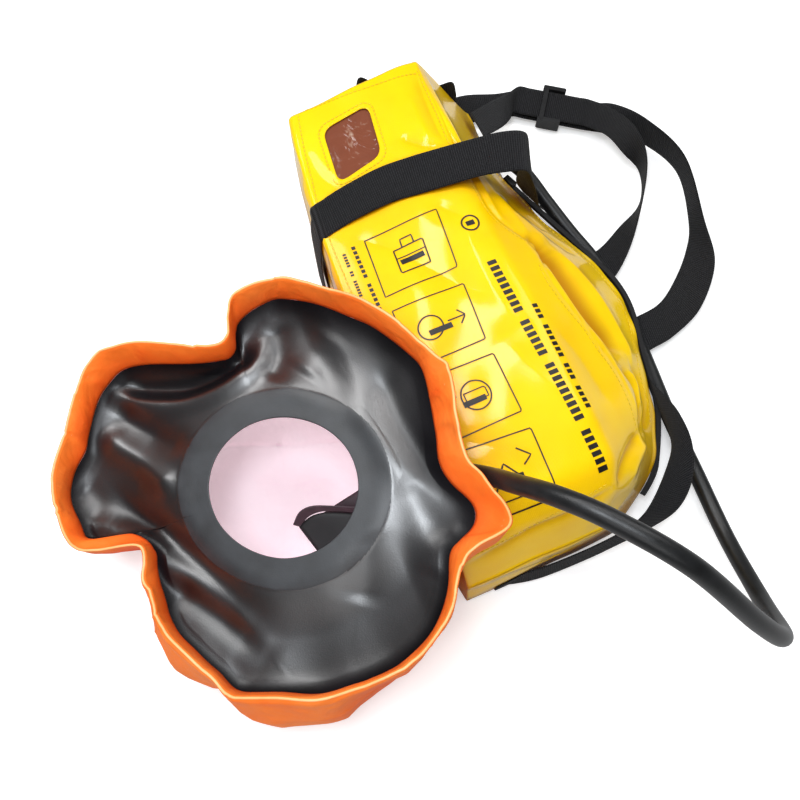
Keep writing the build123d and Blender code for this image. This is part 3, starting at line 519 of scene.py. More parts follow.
# creases of the front: the pocket seam and its flap, the near corner, the far part, then broad soft dents
BAG_FOLDS = [
    (SEAM, -1.6, 2.2, 1.6),
    ([(p[0] + 5, p[1]) for p in SEAM[:8]], 2.2, 4.5, 3.5),
    ([(96, 34), (105, 30), (109, 22), (108, 12), (100, 3)], -4.5, 5, 3.5),
    ([(98, 26), (106, 12), (111, -20), (117, -58), (124, -82), (129, -106)], -15, 19, 2.0),
    ([(124, 28), (135, 10), (148, -31), (154, -80), (147, -116)], 4.5, 9, 10),
    ([(96, 14), (102, -21), (108, -58), (114, -82), (118, -104)], 3.0, 3, 9),
    ([(124, -108), (133, -130), (125, -154), (116, -172)], -7, 7, 1.8),
    ([(146, -104), (149, -126), (140, -152), (124, -176)], -5, 6, 1.8),
    ([(139, -110), (141, -128), (131, -152)], 3.0, 3, 5),
    ([(115, -171), (86, -188), (70, -203), (61, -218)], -5, 4, 4),
    ([(120, -178), (92, -196), (78, -212)], 4, 5, 5),
    ([(57, -213), (21, -218), (-16, -218), (-41, -220), (-66, -222), (-86, -222)], -4.0, 4, 1.4),
    ([(74, 229), (69, 199), (66, 170), (64, 145)], -2.2, 6, 9),
    ([(56, 210), (52, 177), (55, 146)], 1.8, 9, 6),
    ([(24, 166), (42, 150), (58, 140)], -2.0, 6, 5),
    ([(-50, 138), (-58, 160), (-60, 190)], -1.2, 7, 7),
    ([(-60, 86), (-30, 60), (0, 20), (30, -20)], -1.6, 14, 10),
    ([(60, 80), (40, 40), (36, -10), (44, -60)], 1.8, 14, 16),
    ([(20, 92), (46, 60), (58, 20)], -1.6, 9, 12),
    ([(88, 92), (98, 66), (116, 40), (128, 26)], 2.6, 9, 9),
    ([(70, -60), (84, -100), (92, -150)], -2.2, 14, 12),
    ([(20, -60), (40, -110), (70, -170)], 1.8, 16, 16),
    ([(-60, -120), (-20, -150), (10, -190)], -1.8, 14, 12),
    ([(100, 80), (122, 66), (140, 52)], -3.0, 7, 5),
    ([(112, 60), (138, 40), (160, 20)], -2.4, 6, 6),
    ([(-86, 110), (-56, 115), (-10, 121), (25, 121), (58, 118), (90, 110), (118, 101)], -1.4, 17, 17),
]
up = normals_of(bag, True)
if up[BAG_ROWS // 2, 60, 2] < 0:
    up = -up

# folds on the front, waves on the other sides, and flat cloth round the window
front = ease((up[..., 2] - 0.02) / 0.2) * ease((bag[..., 2] - 24) / 8)
WINDOW = [(-46, 141), (3, 155), (13, 214), (-38, 203)]
calm = ease((np.hypot(bag[..., 0] + 17, (bag[..., 1] - 178) * 0.8) - 30) / 22)
dents = folds(bag[..., 0], bag[..., 1], BAG_FOLDS, 1.3)
lift = dents + ripples(bag[..., 0], bag[..., 1], 4, 78, 1.0)
side = ripples(bag[..., 1], bag[..., 2], 9, 60, 1.6) * (1 - front) * ease((bag[..., 2] - 6) / 20)
bag = bag + up * (lift * front * calm + side * ease((BAG_END - np.abs(bag[..., 1])) / 20))[..., None]
# painted shade in the valleys of the front's folds, for the cloth's material to darken
bag_painted_shade = 0.8 * ease(-dents / 9) * front * calm

# the near end leans in above the floor, and the far end is cut askew
near = ease((-190 - bag[..., 1]) / 46)
bag[..., 1] += 5 * near * ease((bag[..., 2] - 14) / 34)
far = ease((bag[..., 1] - 190) / 48) * ease((bag[..., 2] - 40) / 70)
bag[..., 1] += (0.13 * bag[..., 0] - 1) * far

# end panels: rings that close in on the middle of each end, with a small step at the seam
END_RINGS = [(0.994, 1.4), (0.985, 0.6), (0.96, 1.2), (0.9, 2.0), (0.78, 2.2), (0.6, 2.4), (0.4, 2.4),
             (0.2, 2.4), (0.02, 2.4)]


def end_panel(ring, outward):
    """Rings of one end, from its rim to its middle."""
    centre = ring.mean(0)
    out = []
    for scale, bulge in END_RINGS:
        p = centre + (ring - centre) * scale
        p[:, 1] += outward * bulge + ripples(p[:, 0], p[:, 2], 3, 60, 0.8) * (1 - scale) * 2
        out.append(p)
    return np.array(out)


bag = np.concatenate([end_panel(bag[0], -1)[::-1], bag, end_panel(bag[-1], 1)], 0)
bag[..., 2] = np.maximum(bag[..., 2], 0.6)
bag_painted_shade = np.pad(bag_painted_shade, ((len(END_RINGS), len(END_RINGS)), (0, 0)))
rows = bag.shape[0]
steps = np.linalg.norm(np.diff(bag, axis=1), axis=2)
around = np.concatenate([np.zeros((rows, 1)), np.cumsum(steps, 1)], 1)
fab = np.stack([around, bag[..., 1], np.zeros_like(around)], -1)
faces = grid_faces(rows, cols, wrap=True)
flat = bag.reshape(-1, 3).copy()


def rounded_loop(points, cut):
    """One plan outline with every corner rounded."""
    return rounded(np.array([points], float), [cut] * len(points), [10] * len(points), 10)[0]


def inside(points, loop):
    """Whether each plan point lies inside an outline."""
    hits = np.zeros(len(points), bool)
    for p, q in zip(loop, np.roll(loop, -1, 0)):
        cross = (p[1] > points[:, 1]) != (q[1] > points[:, 1])
        with np.errstate(divide="ignore", invalid="ignore"):
            x = (q[0] - p[0]) * (points[:, 1] - p[1]) / (q[1] - p[1]) + p[0]
        hits ^= cross & (points[:, 0] < x)
    return hits


# the window: faces inside the loop go, and the points round the hole move onto it
window_loop = rounded_loop(WINDOW, 12)
centres = flat[faces].mean(1)
gone = inside(centres[:, :2], window_loop) & (centres[:, 2] > 100)
hole_rim = np.intersect1d(faces[gone].ravel(), faces[~gone].ravel())
chords = np.roll(window_loop, -1, 0) - window_loop
for v in hole_rim:
    t = np.clip(((flat[v, :2] - window_loop) * chords).sum(1) / (chords * chords).sum(1), 0, 1)
    spots = window_loop + chords * t[:, None]
    flat[v, :2] = spots[np.hypot(*(spots - flat[v, :2]).T).argmin()]
faces = faces[~gone]
bag_skin = piece("bag_skin", flat, faces, yellow, "bag", fab.reshape(-1, 3), bag_painted_shade)
thick = bag_skin.modifiers.new("cloth", "SOLIDIFY")
thick.thickness, thick.offset = 0.0009, -1
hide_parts("bag_back", "bag_front")
bag_tree = tree_of(bag_skin)

# ------------------------------------------------------------------ strips, stitches and prints


def tube(line, radius, sides):
    """Points and faces of a round cord along a line."""
    d = unit(np.gradient(line, axis=0))
    ref = np.tile([0.0, 0.0, 1.0], (len(line), 1))
    ref[np.abs(d[:, 2]) > 0.9] = (1, 0, 0)
    a = unit(np.cross(d, ref))
    b = np.cross(a, d)
    t = np.linspace(0, 2 * pi, sides, endpoint=False)
    circle = a[:, None] * np.cos(t)[None, :, None] + b[:, None] * np.sin(t)[None, :, None]
    p = line[:, None] + radius * circle
    along = np.repeat(travel(line)[:, None], sides, 1)
    fabric = np.stack([along, np.tile(t * radius, (len(line), 1)), np.zeros_like(along)], -1)
    f = [tuple(q) for q in grid_faces(len(line), sides, wrap=True)]
    f += [tuple(range(sides))[::-1], tuple(range((len(line) - 1) * sides, len(line) * sides))]
    return p.reshape(-1, 3), f, fabric.reshape(-1, 3)


def stitches(name, lines, material, body, pitch=4.6, length=3.0, radius=0.42):
    """Short threads laid along lines; each line is (points, normals)."""
    points, faces_ = [], []
    for line, normal in lines:
        run = travel(line)
        for s in np.arange(pitch / 2, run[-1] - length, pitch):
            ends = at(run, line, np.array([s, s + length]))
            n = unit(at(run, normal, np.array([s]))[0])
            d = unit(ends[1] - ends[0])
            c = np.cross(d, n)
            base = len(points)
            stops = (ends[0], ends[0] + d * 0.6, ends[1] - d * 0.6, ends[1])
            for e, r in zip(stops, (0.55, 1.0, 1.0, 0.55)):
                for w in np.arange(6) * pi / 3:
                    points.append(e + (c * cos(w) + n * (sin(w) * 0.8 + 0.3)) * radius * r)
            faces_.extend(grid_faces(4, 6, wrap=True) + base)
    return piece(name, points, faces_, material, body)


def on_bag(points):
    """A smooth plan line laid on the bag, with the surface's normals."""
    raw = curve(points, 40)
    run = travel(raw)
    xy = at(run, raw, np.linspace(0, run[-1], max(8, int(run[-1] / 3))))
    return drape(bag_tree, xy, 0.1)


def shifted(points, by):
    """A plan line moved to its left by a distance."""
    p = curve(points, 60)
    d = unit(np.gradient(p, axis=0))
    return p + np.stack([-d[:, 1], d[:, 0]], 1) * by


seams = [
    shifted(SEAM[:5], -5.5), shifted(SEAM[5:9], -5.0), shifted(SEAM[10:], -5.5),
    shifted([(-58, 234), (-68, 189), (-74, 152), (-79, 125), (-82, 89), (-84, 40), (-84, -40), (-84, -190)],
            6),
    [(-56, 232), (-20, 233), (30, 233), (74, 234)],
    [(52, -206), (10, -210), (-27, -212), (-58, -214), (-80, -214)],
    shifted([(139, 200), (135, 146), (144, 114), (156, 73), (167, 37), (180, 9), (186, -14), (186, -36),
             (183, -63), (172, -92), (163, -117), (158, -141), (145, -171)], -7),
    rounded_loop([(-51, 136), (8, 150), (18, 220), (-43, 208)], 14),
]
stitch_paths = [on_bag(s) for s in seams]
bag_thread = stitches("bag_thread", stitch_paths, thread, "bag")


def flat_strips(paths, lift_):
    """Thin strokes lying on the bag: each path is (points, width)."""
    points, faces_ = [], []
    for line, width in paths:
        line = np.array(line, float)
        run = travel(line)
        n = max(2, int(run[-1] / 2.5) + 1)
        mid_ = at(run, line, np.linspace(0, run[-1], n))
        d = unit(np.gradient(mid_, axis=0))
        across = np.stack([-d[:, 1], d[:, 0]], 1) * width / 2
        cuts_ = np.linspace(-1, 1, 3 if width > 3 else 2)
        base = len(points)
        for c in cuts_:
            p, _ = drape(bag_tree, mid_ + across * c, lift_)
            points.extend(p)
        for r in range(len(cuts_) - 1):
            for i in range(n - 1):
                a = base + r * n + i
                faces_.append((a, a + n, a + n + 1, a + 1))
    return np.array(points), faces_


def box_path(c):
    """The closed outline of a frame."""
    return np.array(c + c[:1], float)


def in_frame(c, s):
    """Maps unit coordinates to the frame with the given corners."""
    c = np.array(c, float)
    return [c[0] * (1 - u) * (1 - v) + c[1] * u * (1 - v) + c[2] * u * v + c[3] * (1 - u) * v for u, v in s]


FRAMES = [
    [(-48, 75), (25, 80), (18, 19), (-53, 15)], [(-53, 0), (16, 2), (10, -55), (-56, -56)],
    [(-54, -68), (10, -70), (9, -126), (-54, -127)], [(-52, -137), (9, -142), (7, -200), (-52, -198)],
]



def circle(u, v, r, squeeze=1.0):
    return [(u + r * cos(a), v + r * squeeze * sin(a)) for a in np.linspace(0, 2 * pi, 25)]


# plain signs in each frame's own unit coordinates, with stroke widths: a case, a dial and
# an arrow, a canister, a way out
ICONS = [
    [([(0.3, 0.35), (0.7, 0.35), (0.7, 0.75), (0.3, 0.75), (0.3, 0.35)], 1.3),
     ([(0.3, 0.5), (0.7, 0.5)], 1.0),
     ([(0.42, 0.35), (0.42, 0.22), (0.58, 0.22), (0.58, 0.35)], 1.3)],
    [(circle(0.38, 0.5, 0.17, 1.15), 1.3),
     ([(0.62, 0.5), (0.86, 0.5)], 1.3),
     ([(0.78, 0.38), (0.87, 0.5), (0.78, 0.62)], 1.3)],
    [(circle(0.55, 0.5, 0.2, 1.15), 1.3),
     ([(0.4, 0.42), (0.7, 0.42), (0.7, 0.58), (0.4, 0.58), (0.4, 0.42)], 1.0),
     ([(0.12, 0.3), (0.3, 0.42)], 1.0)],
    [([(0.2, 0.7), (0.45, 0.35), (0.7, 0.7)], 1.3),
     ([(0.7, 0.2), (0.86, 0.35), (0.72, 0.45)], 1.2),
     ([(0.15, 0.84), (0.85, 0.84)], 1.0)],
]
ink_paths = [(box_path(c), 1.1) for c in FRAMES]
for c, shapes in zip(FRAMES, ICONS):
    ink_paths += [(in_frame(c, s), w) for s, w in shapes]
    ink_paths.append((in_frame(c, [(0.34, 0.58), (0.66, 0.58)]), 5.0))


def word_bars(start, end, words, height, gap):
    """Plain bars that stand for words."""
    a, b = np.array(start, float), np.array(end, float)
    run = np.linalg.norm(b - a)
    d = (b - a) / run
    unit_ = (run - gap * (len(words) - 1)) / sum(words)
    out, s = [], 0.0
    for n in words:
        for k in range(n):
            out.append(([a + d * (s + unit_ * (k + 0.14)), a + d * (s + unit_ * (k + 0.78))], height))
        s += unit_ * n + gap
    return out


ink_paths += word_bars((47, 12), (50, -198), (9, 6, 9, 6), 8.4, 7)
ink_paths += word_bars((64, -40), (62, -146), (3, 6, 3, 4), 5.0, 5)
ink_paths += word_bars((-60, 74), (-62, 4), (7, 6), 3.4, 5)
ink_paths += word_bars((-70, 70), (-72, 24), (5, 2, 6), 3.0, 4)
ink_paths += [(circle(47, 54, 8), 1.6), ([(43, 54), (51, 54)], 5.0)]
p, f = flat_strips(ink_paths, 0.28)
prints = piece("bag_print", p, f, ink, "bag")

# ------------------------------------------------------------------ webbing


ACROSS = 13
STRAP_GAP = 1.1


def keep_off(points, tree):
    """Lifts the points of a strap that come closer to the bag than its gap."""
    for row in points:
        for p in row:
            hit, normal, _, dist = tree.find_nearest(Vector(p * MM))
            gap = (Vector(p * MM) - hit).dot(normal) / MM
            if gap < STRAP_GAP and dist < 0.012:
                p += np.array(normal) * (STRAP_GAP - gap)


def ribbon(name, edge_a, edge_b, body, node, material=web, thick=1.5, tree=None, wave=0.0):
    """A woven strap between two guide edges."""
    a, b = sweep_points(edge_a), sweep_points(edge_b)
    run = travel((a + b) / 2)
    count = int(run[-1] / 3.0)
    s = np.linspace(0, run[-1], count)
    a, b = at(run, a, s), at(run, b, s)
    u = np.linspace(0, 1, ACROSS)[None, :]
    middle = a[:, None] * (1 - u[..., None]) + b[:, None] * u[..., None]
    n = normals_of(middle, False)
    width = np.linalg.norm(b - a, axis=1)[:, None]
    if wave:
        middle = middle + n * ripples(s[:, None] + 0 * u, width * u, 5, 70, wave)[..., None]
    if tree:
        keep_off(middle, tree)
    rim = np.minimum(1, np.minimum(u, 1 - u) * width / 1.2)
    half = (thick / 2 * (0.35 + 0.65 * np.sqrt(np.clip(rim, 0, 1))))[..., None]
    loop = np.concatenate([middle + n * half, (middle - n * half)[:, ::-1]], 1)
    w = np.concatenate([u * width, (u * width)[:, ::-1]], 1)
    fabric = np.stack([np.repeat(s[:, None], 2 * ACROSS, 1), w, np.zeros_like(w)], -1)
    f = [tuple(q) for q in grid_faces(count, 2 * ACROSS, wrap=True)]
    f += [tuple(range(2 * ACROSS))[::-1], tuple(range((count - 1) * 2 * ACROSS, count * 2 * ACROSS))]
    o = piece(name, loop.reshape(-1, 3), f, material, body, fabric.reshape(-1, 3))
    if node:
        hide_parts(node)
    return o


BAND_FAR = [(-83.5, 128, 8), (-83.5, 128, 60), (-82.5, 127, 98), (-75, 128, 121), (-56, 132, 128),
            (-10, 140, 128.5), (25, 140, 128.5), (58, 137, 129.5), (85, 132, 133), (112, 125, 138),
            (131, 118, 137), (137, 116, 122), (137, 119, 80), (139, 122, 52), (149, 122, 30)]
BAND_NEAR = [(-88, 88, 8), (-88, 88, 60), (-87, 88, 98), (-79, 91, 121), (-56, 96, 128), (-12, 101, 128.5),
             (18, 99, 128.5), (50, 96, 129.5), (76, 92, 132), (98, 84, 136), (114, 78, 136), (122, 76, 120),
             (136, 80, 84), (146, 84, 54), (158.5, 88, 33)]
ribbon("band_upper", BAND_FAR, BAND_NEAR, "bag", "upper_band", tree=bag_tree)
LOOP_OUT = [(166, -122, 29), (169, -140, 32), (170, -164, 39), (163, -196, 45), (146, -226, 43),
            (123, -244, 36), (93, -249, 28), (62, -250, 20), (32, -250, 10), (-10, -248, 5), (-36, -243, 4),
            (-56, -236, 4)]
LOOP_IN = [(157, -166, 30), (153, -176, 36), (143, -194, 43), (122, -212, 50), (104, -226, 52),
           (88, -236, 51), (72, -241, 47), (50, -243, 42), (21, -243, 36), (-10, -241, 28), (-36, -237, 22),
           (-56, -231, 18)]
ribbon("band_lower", LOOP_OUT, LOOP_IN, "bag", "lower_band", tree=bag_tree)


HALF_WEB = 19
SLIDER_AT = (238, 219)
LOWER_LAYER, UPPER_LAYER = 8, 14.6


def slider_points(side_, height):
    """Straight stretch of a strap edge that the strap slider travels on."""
    x, y = SLIDER_AT[0] + 0.6 * side_, SLIDER_AT[1] + 0.8 * side_
    return [(x + 0.8 * a, y - 0.6 * a, height) for a in (-41, -29, -15, 0, 15, 29, 41)]


SHOULDER_OUT = [(118, 262, 32), (152, 266, 22), (188, 262, 12)] + slider_points(HALF_WEB, LOWER_LAYER) + [
    (300, 186, 24), (312, 142, 40), (326, 86, 38), (313, 15, 24), (300, -32, 18), (262, -70, 13),
    (222, -86, 11), (194, -90, 11), (172, -92, 9)]
SHOULDER_IN = [(124, 242, 8), (152, 238, 8), (176, 231, 9)] + slider_points(-HALF_WEB, LOWER_LAYER) + [
    (284, 164, 6), (314, 141, 3), (331, 90, 3), (309, 27, 4), (284, -6, 6), (252, -33, 8), (226, -48, 10),
    (200, -52, 11), (176, -52, 9)]
ribbon("strap_shoulder", SHOULDER_OUT, SHOULDER_IN, "bag", "shoulder_strap")
WAIST_OUT = [(128, 212, 62), (160, 226, 50), (196, 246, 28)] + slider_points(HALF_WEB, UPPER_LAYER) + [
    (290, 178, 30), (292, 138, 44), (284, 98, 44), (259, 58, 34), (230, 22, 20), (200, -2, 12),
    (176, -8, 9)]
WAIST_IN = [(128, 178, 62), (158, 192, 48), (180, 212, 28)] + slider_points(-HALF_WEB, UPPER_LAYER) + [
    (270, 152, 24), (274, 122, 26), (288, 102, 10), (270, 68, 8), (234, 50, 8), (200, 34, 10), (172, 32, 8)]
ribbon("strap_waist", WAIST_OUT, WAIST_IN, "bag", "waist_strap")
GRAB = [(12, 242, 106), (20, 253, 119), (40, 252, 102), (80, 248, 78), (106, 249, 74), (121, 245, 77),
        (124, 240, 64)]
GRAB_WIDTH = 25
ribbon("handle_grab", GRAB, [(x, y, z - GRAB_WIDTH) for x, y, z in GRAB], "bag", "grab_handle")

# ------------------------------------------------------------------ hose
HOSE = [(-86.5, -150, 134), (-72, -151, 135), (-57, -159, 142), (-46, -173, 162), (-39, -189, 190),
        (-24, -214, 222), (-2, -244, 235), (32, -290, 230), (76, -342, 174), (110, -363, 122),
        (137, -341, 62), (156, -285, 22), (168, -220, 9), (174, -160, 8), (183, -97, 8), (190, -38, 8),
        (190, 18, 9), (180, 63, 14), (170, 102, 23), (158, 138, 36), (134, 162, 51), (106, 171.5, 61),
        (90, 172, 63), (75.6, 172, 63)]
hose_line = curve(HOSE, 460)
HOSE_RADIUS = 7.5
p, f, fabric = tube(hose_line, HOSE_RADIUS, 18)
hose = piece("hose_skin", p, f, hose_skin, "bag", fabric, ride=False)

# ------------------------------------------------------------------ hood
CENTRE = np.array([-194.0, -107.0])
SEAL_DEPTH = 24


def rim_height(x):
    """The rim lies on a plane that rises towards the bag."""
    return 148 + 0.28 * (x + 194)


# the folded crest of the rim and the seam of the neck seal, measured in the plan from the neck centre
CREST = [(57, 156), (22, 160), (10, 145), (3, 129), (-12, 129), (-49, 154), (-74, 168), (-100, 174),
         (-117, 170), (-130, 157), (-149, 128), (-170, 101), (-178, 81), (-179, 45), (-172, 26), (-157, 17),
         (-121, 3), (-127, -23), (-124, -36), (-126, -54), (-122, -70), (-113, -88), (-107, -100),
         (-100, -112), (-91, -131), (-79, -137), (-58, -146), (-31, -159), (-4, -163), (13, -165),
         (30, -164), (51, -160), (80, -142), (98, -117), (113, -110), (141, -104), (138, -69), (133, -50),
         (139, -19), (149, 17), (144, 33), (128, 75), (108, 107), (76, 142)]
SEAL = [(47, 154), (24, 153), (10, 145), (2, 130), (-9, 126), (-32, 135), (-71, 156), (-93, 163),
        (-107, 159), (-124, 148), (-141, 124), (-149, 110), (-164, 97), (-174, 77), (-172, 54), (-168, 32),
        (-146, 28), (-130, 22), (-119, 8), (-119, -8), (-121, -23), (-122, -44), (-121, -64), (-116, -83),
        (-107, -101), (-95, -122), (-81, -134), (-60, -143), (-34, -157), (-19, -160), (8, -162),
        (31, -161), (62, -150), (84, -129), (97, -105), (108, -99), (122, -93), (127, -79), (119, -56),
        (118, -38), (125, -16), (136, 31), (132, 52), (117, 85), (104, 103), (81, 131), (56, 151)]
SECTORS = 520


def radius_at(points, theta):
    """Radius of a closed outline at some angles, in the plan."""
    x, y = curve(points, 900, closed=True).T
    turn = np.arctan2(y, x) % (2 * pi)
    order = np.argsort(turn)
    return np.interp(theta % (2 * pi), turn[order], np.hypot(x, y)[order], period=2 * pi)


crest_xy = curve(CREST, SECTORS, closed=True)
theta = np.arctan2(crest_xy[:, 1], crest_xy[:, 0])
crest_r = np.hypot(*crest_xy.T)
seal_r = np.minimum(radius_at(SEAL, theta), crest_r - 2.2)
ray = np.stack([np.cos(theta), np.sin(theta)], 1)
run_round = travel(np.vstack([crest_xy, crest_xy[:1]]))
girth = run_round[-1]
run_round = run_round[:-1]
degrees_ = np.degrees(theta) % 360
# how far the wall stands out below the crest, against the angle round the hood
BELLY = [(0, -1), (60, 0), (95, 1), (106, -5), (118, -11), (130, -7), (142, -4), (160, -5), (178, -6),
         (188, 2), (196, 12), (204, 16), (212, 20), (217, 18), (225, 11), (231, 3), (235, 9), (240, 17),
         (246, 20), (256, 19), (263, 19), (266, 15), (272, 9), (279, 5), (290, -2), (330, -3), (360, -1)]
belly = np.interp(degrees_, *zip(*BELLY))


def crinkle(seed, count, height, drift=0.0):
    """Straight facets of random height round the hood."""
    rng = np.random.default_rng(seed)
    knots = np.sort(rng.uniform(0, girth, count))
    heights = rng.uniform(-height, height, count)
    return np.interp((run_round + drift) % girth, knots, heights, period=girth)


# where the fittings clamp the wall: the inlet on the bag's side, the exhale valve on the far side
INLET_X, INLET_Y, INLET_Z = -94.8, -150, 134
EXHALE_X, EXHALE_Y, EXHALE_Z = -283, 62.5, 62
HOSE_ROOM = 10


def stop_at_bag(p):
    """Keeps the hood off the bag's side and the hose, and flat where fittings clamp it."""
    z = p[..., 2]
    # the bag's side wall, and the room above it that the rim may lean into
    hug = 1 - np.exp(-(((p[..., 1] + 158) / 36) ** 2))
    limit = -96.5 + 64 * ease((z - (128 - 8 * hug)) / (44 - 20 * hug))
    p[..., 0] = np.minimum(p[..., 0], limit)
    at_inlet = ease(1 - (np.hypot(p[..., 1] - INLET_Y, z - INLET_Z) - 12) / 20)
    at_inlet *= (p[..., 0] > -125) * ease((150 - z) / 7)
    p[..., 0] += (INLET_X - p[..., 0]) * at_inlet
    at_valve = ease(1 - (np.hypot(p[..., 0] - EXHALE_X, z - EXHALE_Z) - 17) / 22) * (p[..., 1] > 20)
    p[..., 1] += (EXHALE_Y - p[..., 1]) * at_valve
    flat_ = p.reshape(-1, 3)
    for s in hose_line[14:90:2]:
        gap = flat_ - s
        dist = np.linalg.norm(gap, axis=1)
        hit = (dist < HOSE_ROOM) & (flat_[:, 0] < 0)
        push = unit(gap[hit] * np.array([1, 0.3, 0.3]) + np.array([-2.0, 0, 0]))
        flat_[hit] += push * (HOSE_ROOM - dist[hit])[:, None]
    return flat_.reshape(p.shape)


def ring_of(r, z):
    """A ring of points round the neck centre."""
    xy = CENTRE + ray * r[:, None]
    return np.concatenate([xy, z[:, None]], 1)


# crumpled crest, and a seal seam that stays inside what the bag and hose leave of the rim
crest_r = np.maximum(crest_r + crinkle(3, 70, 1.3) - 1.0, seal_r + 1.6)
crest_z = rim_height(CENTRE[0] + crest_xy[:, 0]) + 1.2 * np.sin(run_round / 23.0) + crinkle(5, 64, 1.8)
seal_z = rim_height(CENTRE[0] + ray[:, 0] * seal_r) - SEAL_DEPTH
for depth in (8, 14, 20, 26):
    probe = stop_at_bag(ring_of(crest_r, crest_z - depth))
    seal_r = np.minimum(seal_r, np.hypot(*(probe[:, :2] - CENTRE).T) - 2.2)
seal_r = np.minimum(seal_r, soften(np.r_[seal_r[-9:], seal_r, seal_r[:9]], 9)[9:-9])
hood_rows, fabric_down, ring_painted_shades = [], [], []


def add_row(row, down, painted_shade=0.0):
    """One more ring of the hood; down is the cloth's own coordinate, the last value how much painted shade
    the ring gets.
    """
    hood_rows.append(row)
    fabric_down.append(down)
    ring_painted_shades.append(np.broadcast_to(painted_shade, SECTORS))


# inner face of the rim, from the seal's seam up to the crest, then over the crest
INNER_ROWS = 12
for t in np.linspace(0, 1, INNER_ROWS):
    r = seal_r + (crest_r - seal_r) * (t ** 1.25)
    fullness = np.minimum(1, (crest_r - seal_r) / 14) * np.sin(pi * t)
    crumple = (crinkle(7, 80, 3.0, 9 * t) + crinkle(8, 46, 2.2, -12 * t)) * fullness
    row = ring_of(r + crumple, seal_z + (crest_z - seal_z) * t ** 0.85)
    # painted shade near the seal's seam and in the crumples' hollows
    add_row(row, -26 * (1 - t), 0.55 * (1 - t) ** 2 + 0.35 * ease(-crumple / 2.4))
add_row(ring_of(crest_r + 0.9, crest_z + 0.5), 1.0)
add_row(ring_of(crest_r + 1.9, crest_z - 0.3), 2.2)

# the wall down to the floor, tucked under at its foot
WALL_FROM = INNER_ROWS + 2
WALL_ROWS = 46
for i in range(1, WALL_ROWS + 1):
    t = i / WALL_ROWS
    z = crest_z * (1 - t) + 5 * t
    bulge = belly * np.interp(t, [0, 0.12, 0.35, 0.6, 0.85, 1], [0.1, 0.25, 0.8, 1.0, 0.75, 0.3])
    pleat = crinkle(12, 44, 2.2, 26 * t) * ease(t * 5) + crinkle(13, 30, 3.0, -34 * t) * ease(t * 2.5)
    tuck = -9 * ease((t - 0.86) / 0.14)
    row = ring_of(crest_r + 1.9 + bulge + pleat + tuck, z)
    lobe_under = ease((degrees_ - 158) / 8) * ease((192 - degrees_) / 9)
    row[:, 1] += 0.5 * np.maximum(0, seal_z - 5 - z) * lobe_under
    # painted shade on the wall under the left lobe and in the pleats' hollows
    add_row(row, 2.2 + 150 * t, np.maximum(0.85 * lobe_under * ease(t * 3), 0.5 * ease(-pleat / 4)))

# the crown of the hood, lying on the floor
for k, scale in enumerate((0.97, 0.9, 0.75, 0.55, 0.3, 0.02)):
    xy = CENTRE + (hood_rows[WALL_FROM + WALL_ROWS - 1][:, :2] - CENTRE) * scale
    wrinkle = 1.6 + 0.8 * np.sin(xy[:, 0] / 17) * np.cos(xy[:, 1] / 13) * (scale < 0.9)
    add_row(np.concatenate([xy, wrinkle[:, None]], 1), 152 + 20 * (k + 1))
hood = np.array(hood_rows)
hood_painted_shade = np.array(ring_painted_shades).ravel()
hood[INNER_ROWS:] = stop_at_bag(hood[INNER_ROWS:].copy())
hood[..., 2] = np.maximum(hood[..., 2], 0.8)


def round_fabric(down):
    """Cloth coordinates of rings round the hood."""
    along = np.tile(run_round, (len(down), 1))
    return np.stack([along, np.repeat(np.array(down)[:, None], SECTORS, 1), np.zeros_like(along)], -1)


fab_h = round_fabric(fabric_down).reshape(-1, 3)
faces_h = grid_faces(len(hood), SECTORS, wrap=True)
flat_h = hood.reshape(-1, 3)
mid_h = flat_h[faces_h].mean(1)


def visor_gap(points):
    """Signed distance from the visor's rounded outline on the far-left wall."""
    qy = np.abs(points[:, 1] + 38) - 28
    qz = np.abs(points[:, 2] - 50) - 12
    return np.hypot(np.maximum(qy, 0), np.maximum(qz, 0)) + np.minimum(np.maximum(qy, qz), 0) - 14


# the pane and its border are cut from the wall, with their edges moved onto smooth outlines
zone = visor_gap(mid_h)
outer = (mid_h[:, 0] < -300) & (np.arange(len(mid_h)) // SECTORS > WALL_FROM)
is_visor = (zone < 0) & outer
is_tape = (zone >= -5) & (zone < 8) & outer
for marked, levels in ((is_visor, np.array([0.0])), (is_tape, np.array([-5.0, 8.0]))):
    edge_v = np.intersect1d(faces_h[marked], faces_h[~marked & outer])
    gap = visor_gap(flat_h[edge_v])
    goal = levels[np.abs(gap[:, None] - levels).argmin(1)]
    slope = [(visor_gap(flat_h[edge_v] + step) - gap) / 0.1 for step in ((0, 0.1, 0), (0, 0, 0.1))]
    flat_h[edge_v, 1:] += np.stack(slope, 1) * (goal - gap)[:, None]


def sub_piece(name, keep, material, lift_=0.0):
    """Part of the hood's cloth as an object, stood off the wall by a distance."""
    used, index = np.unique(faces_h[keep].ravel(), return_inverse=True)
    pts = flat_h[used].copy()
    n = unit(pts[:, :2] - CENTRE)
    pts[:, :2] += n * lift_
    return piece(name, pts, index.reshape(-1, 4), material, "hood", fab_h[used], hood_painted_shade[used])


hood_cloth = sub_piece("hood_cloth", ~is_visor, orange)
thick = hood_cloth.modifiers.new("cloth", "SOLIDIFY")
thick.thickness, thick.offset = 0.0007, -1
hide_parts("hood_shell", "rim_collar")
visor = sub_piece("visor_pane", is_visor, visor_clear, 0.2)
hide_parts("visor")
tape = sub_piece("visor_border", is_tape, orange, 0.9)
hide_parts("visor_tape")

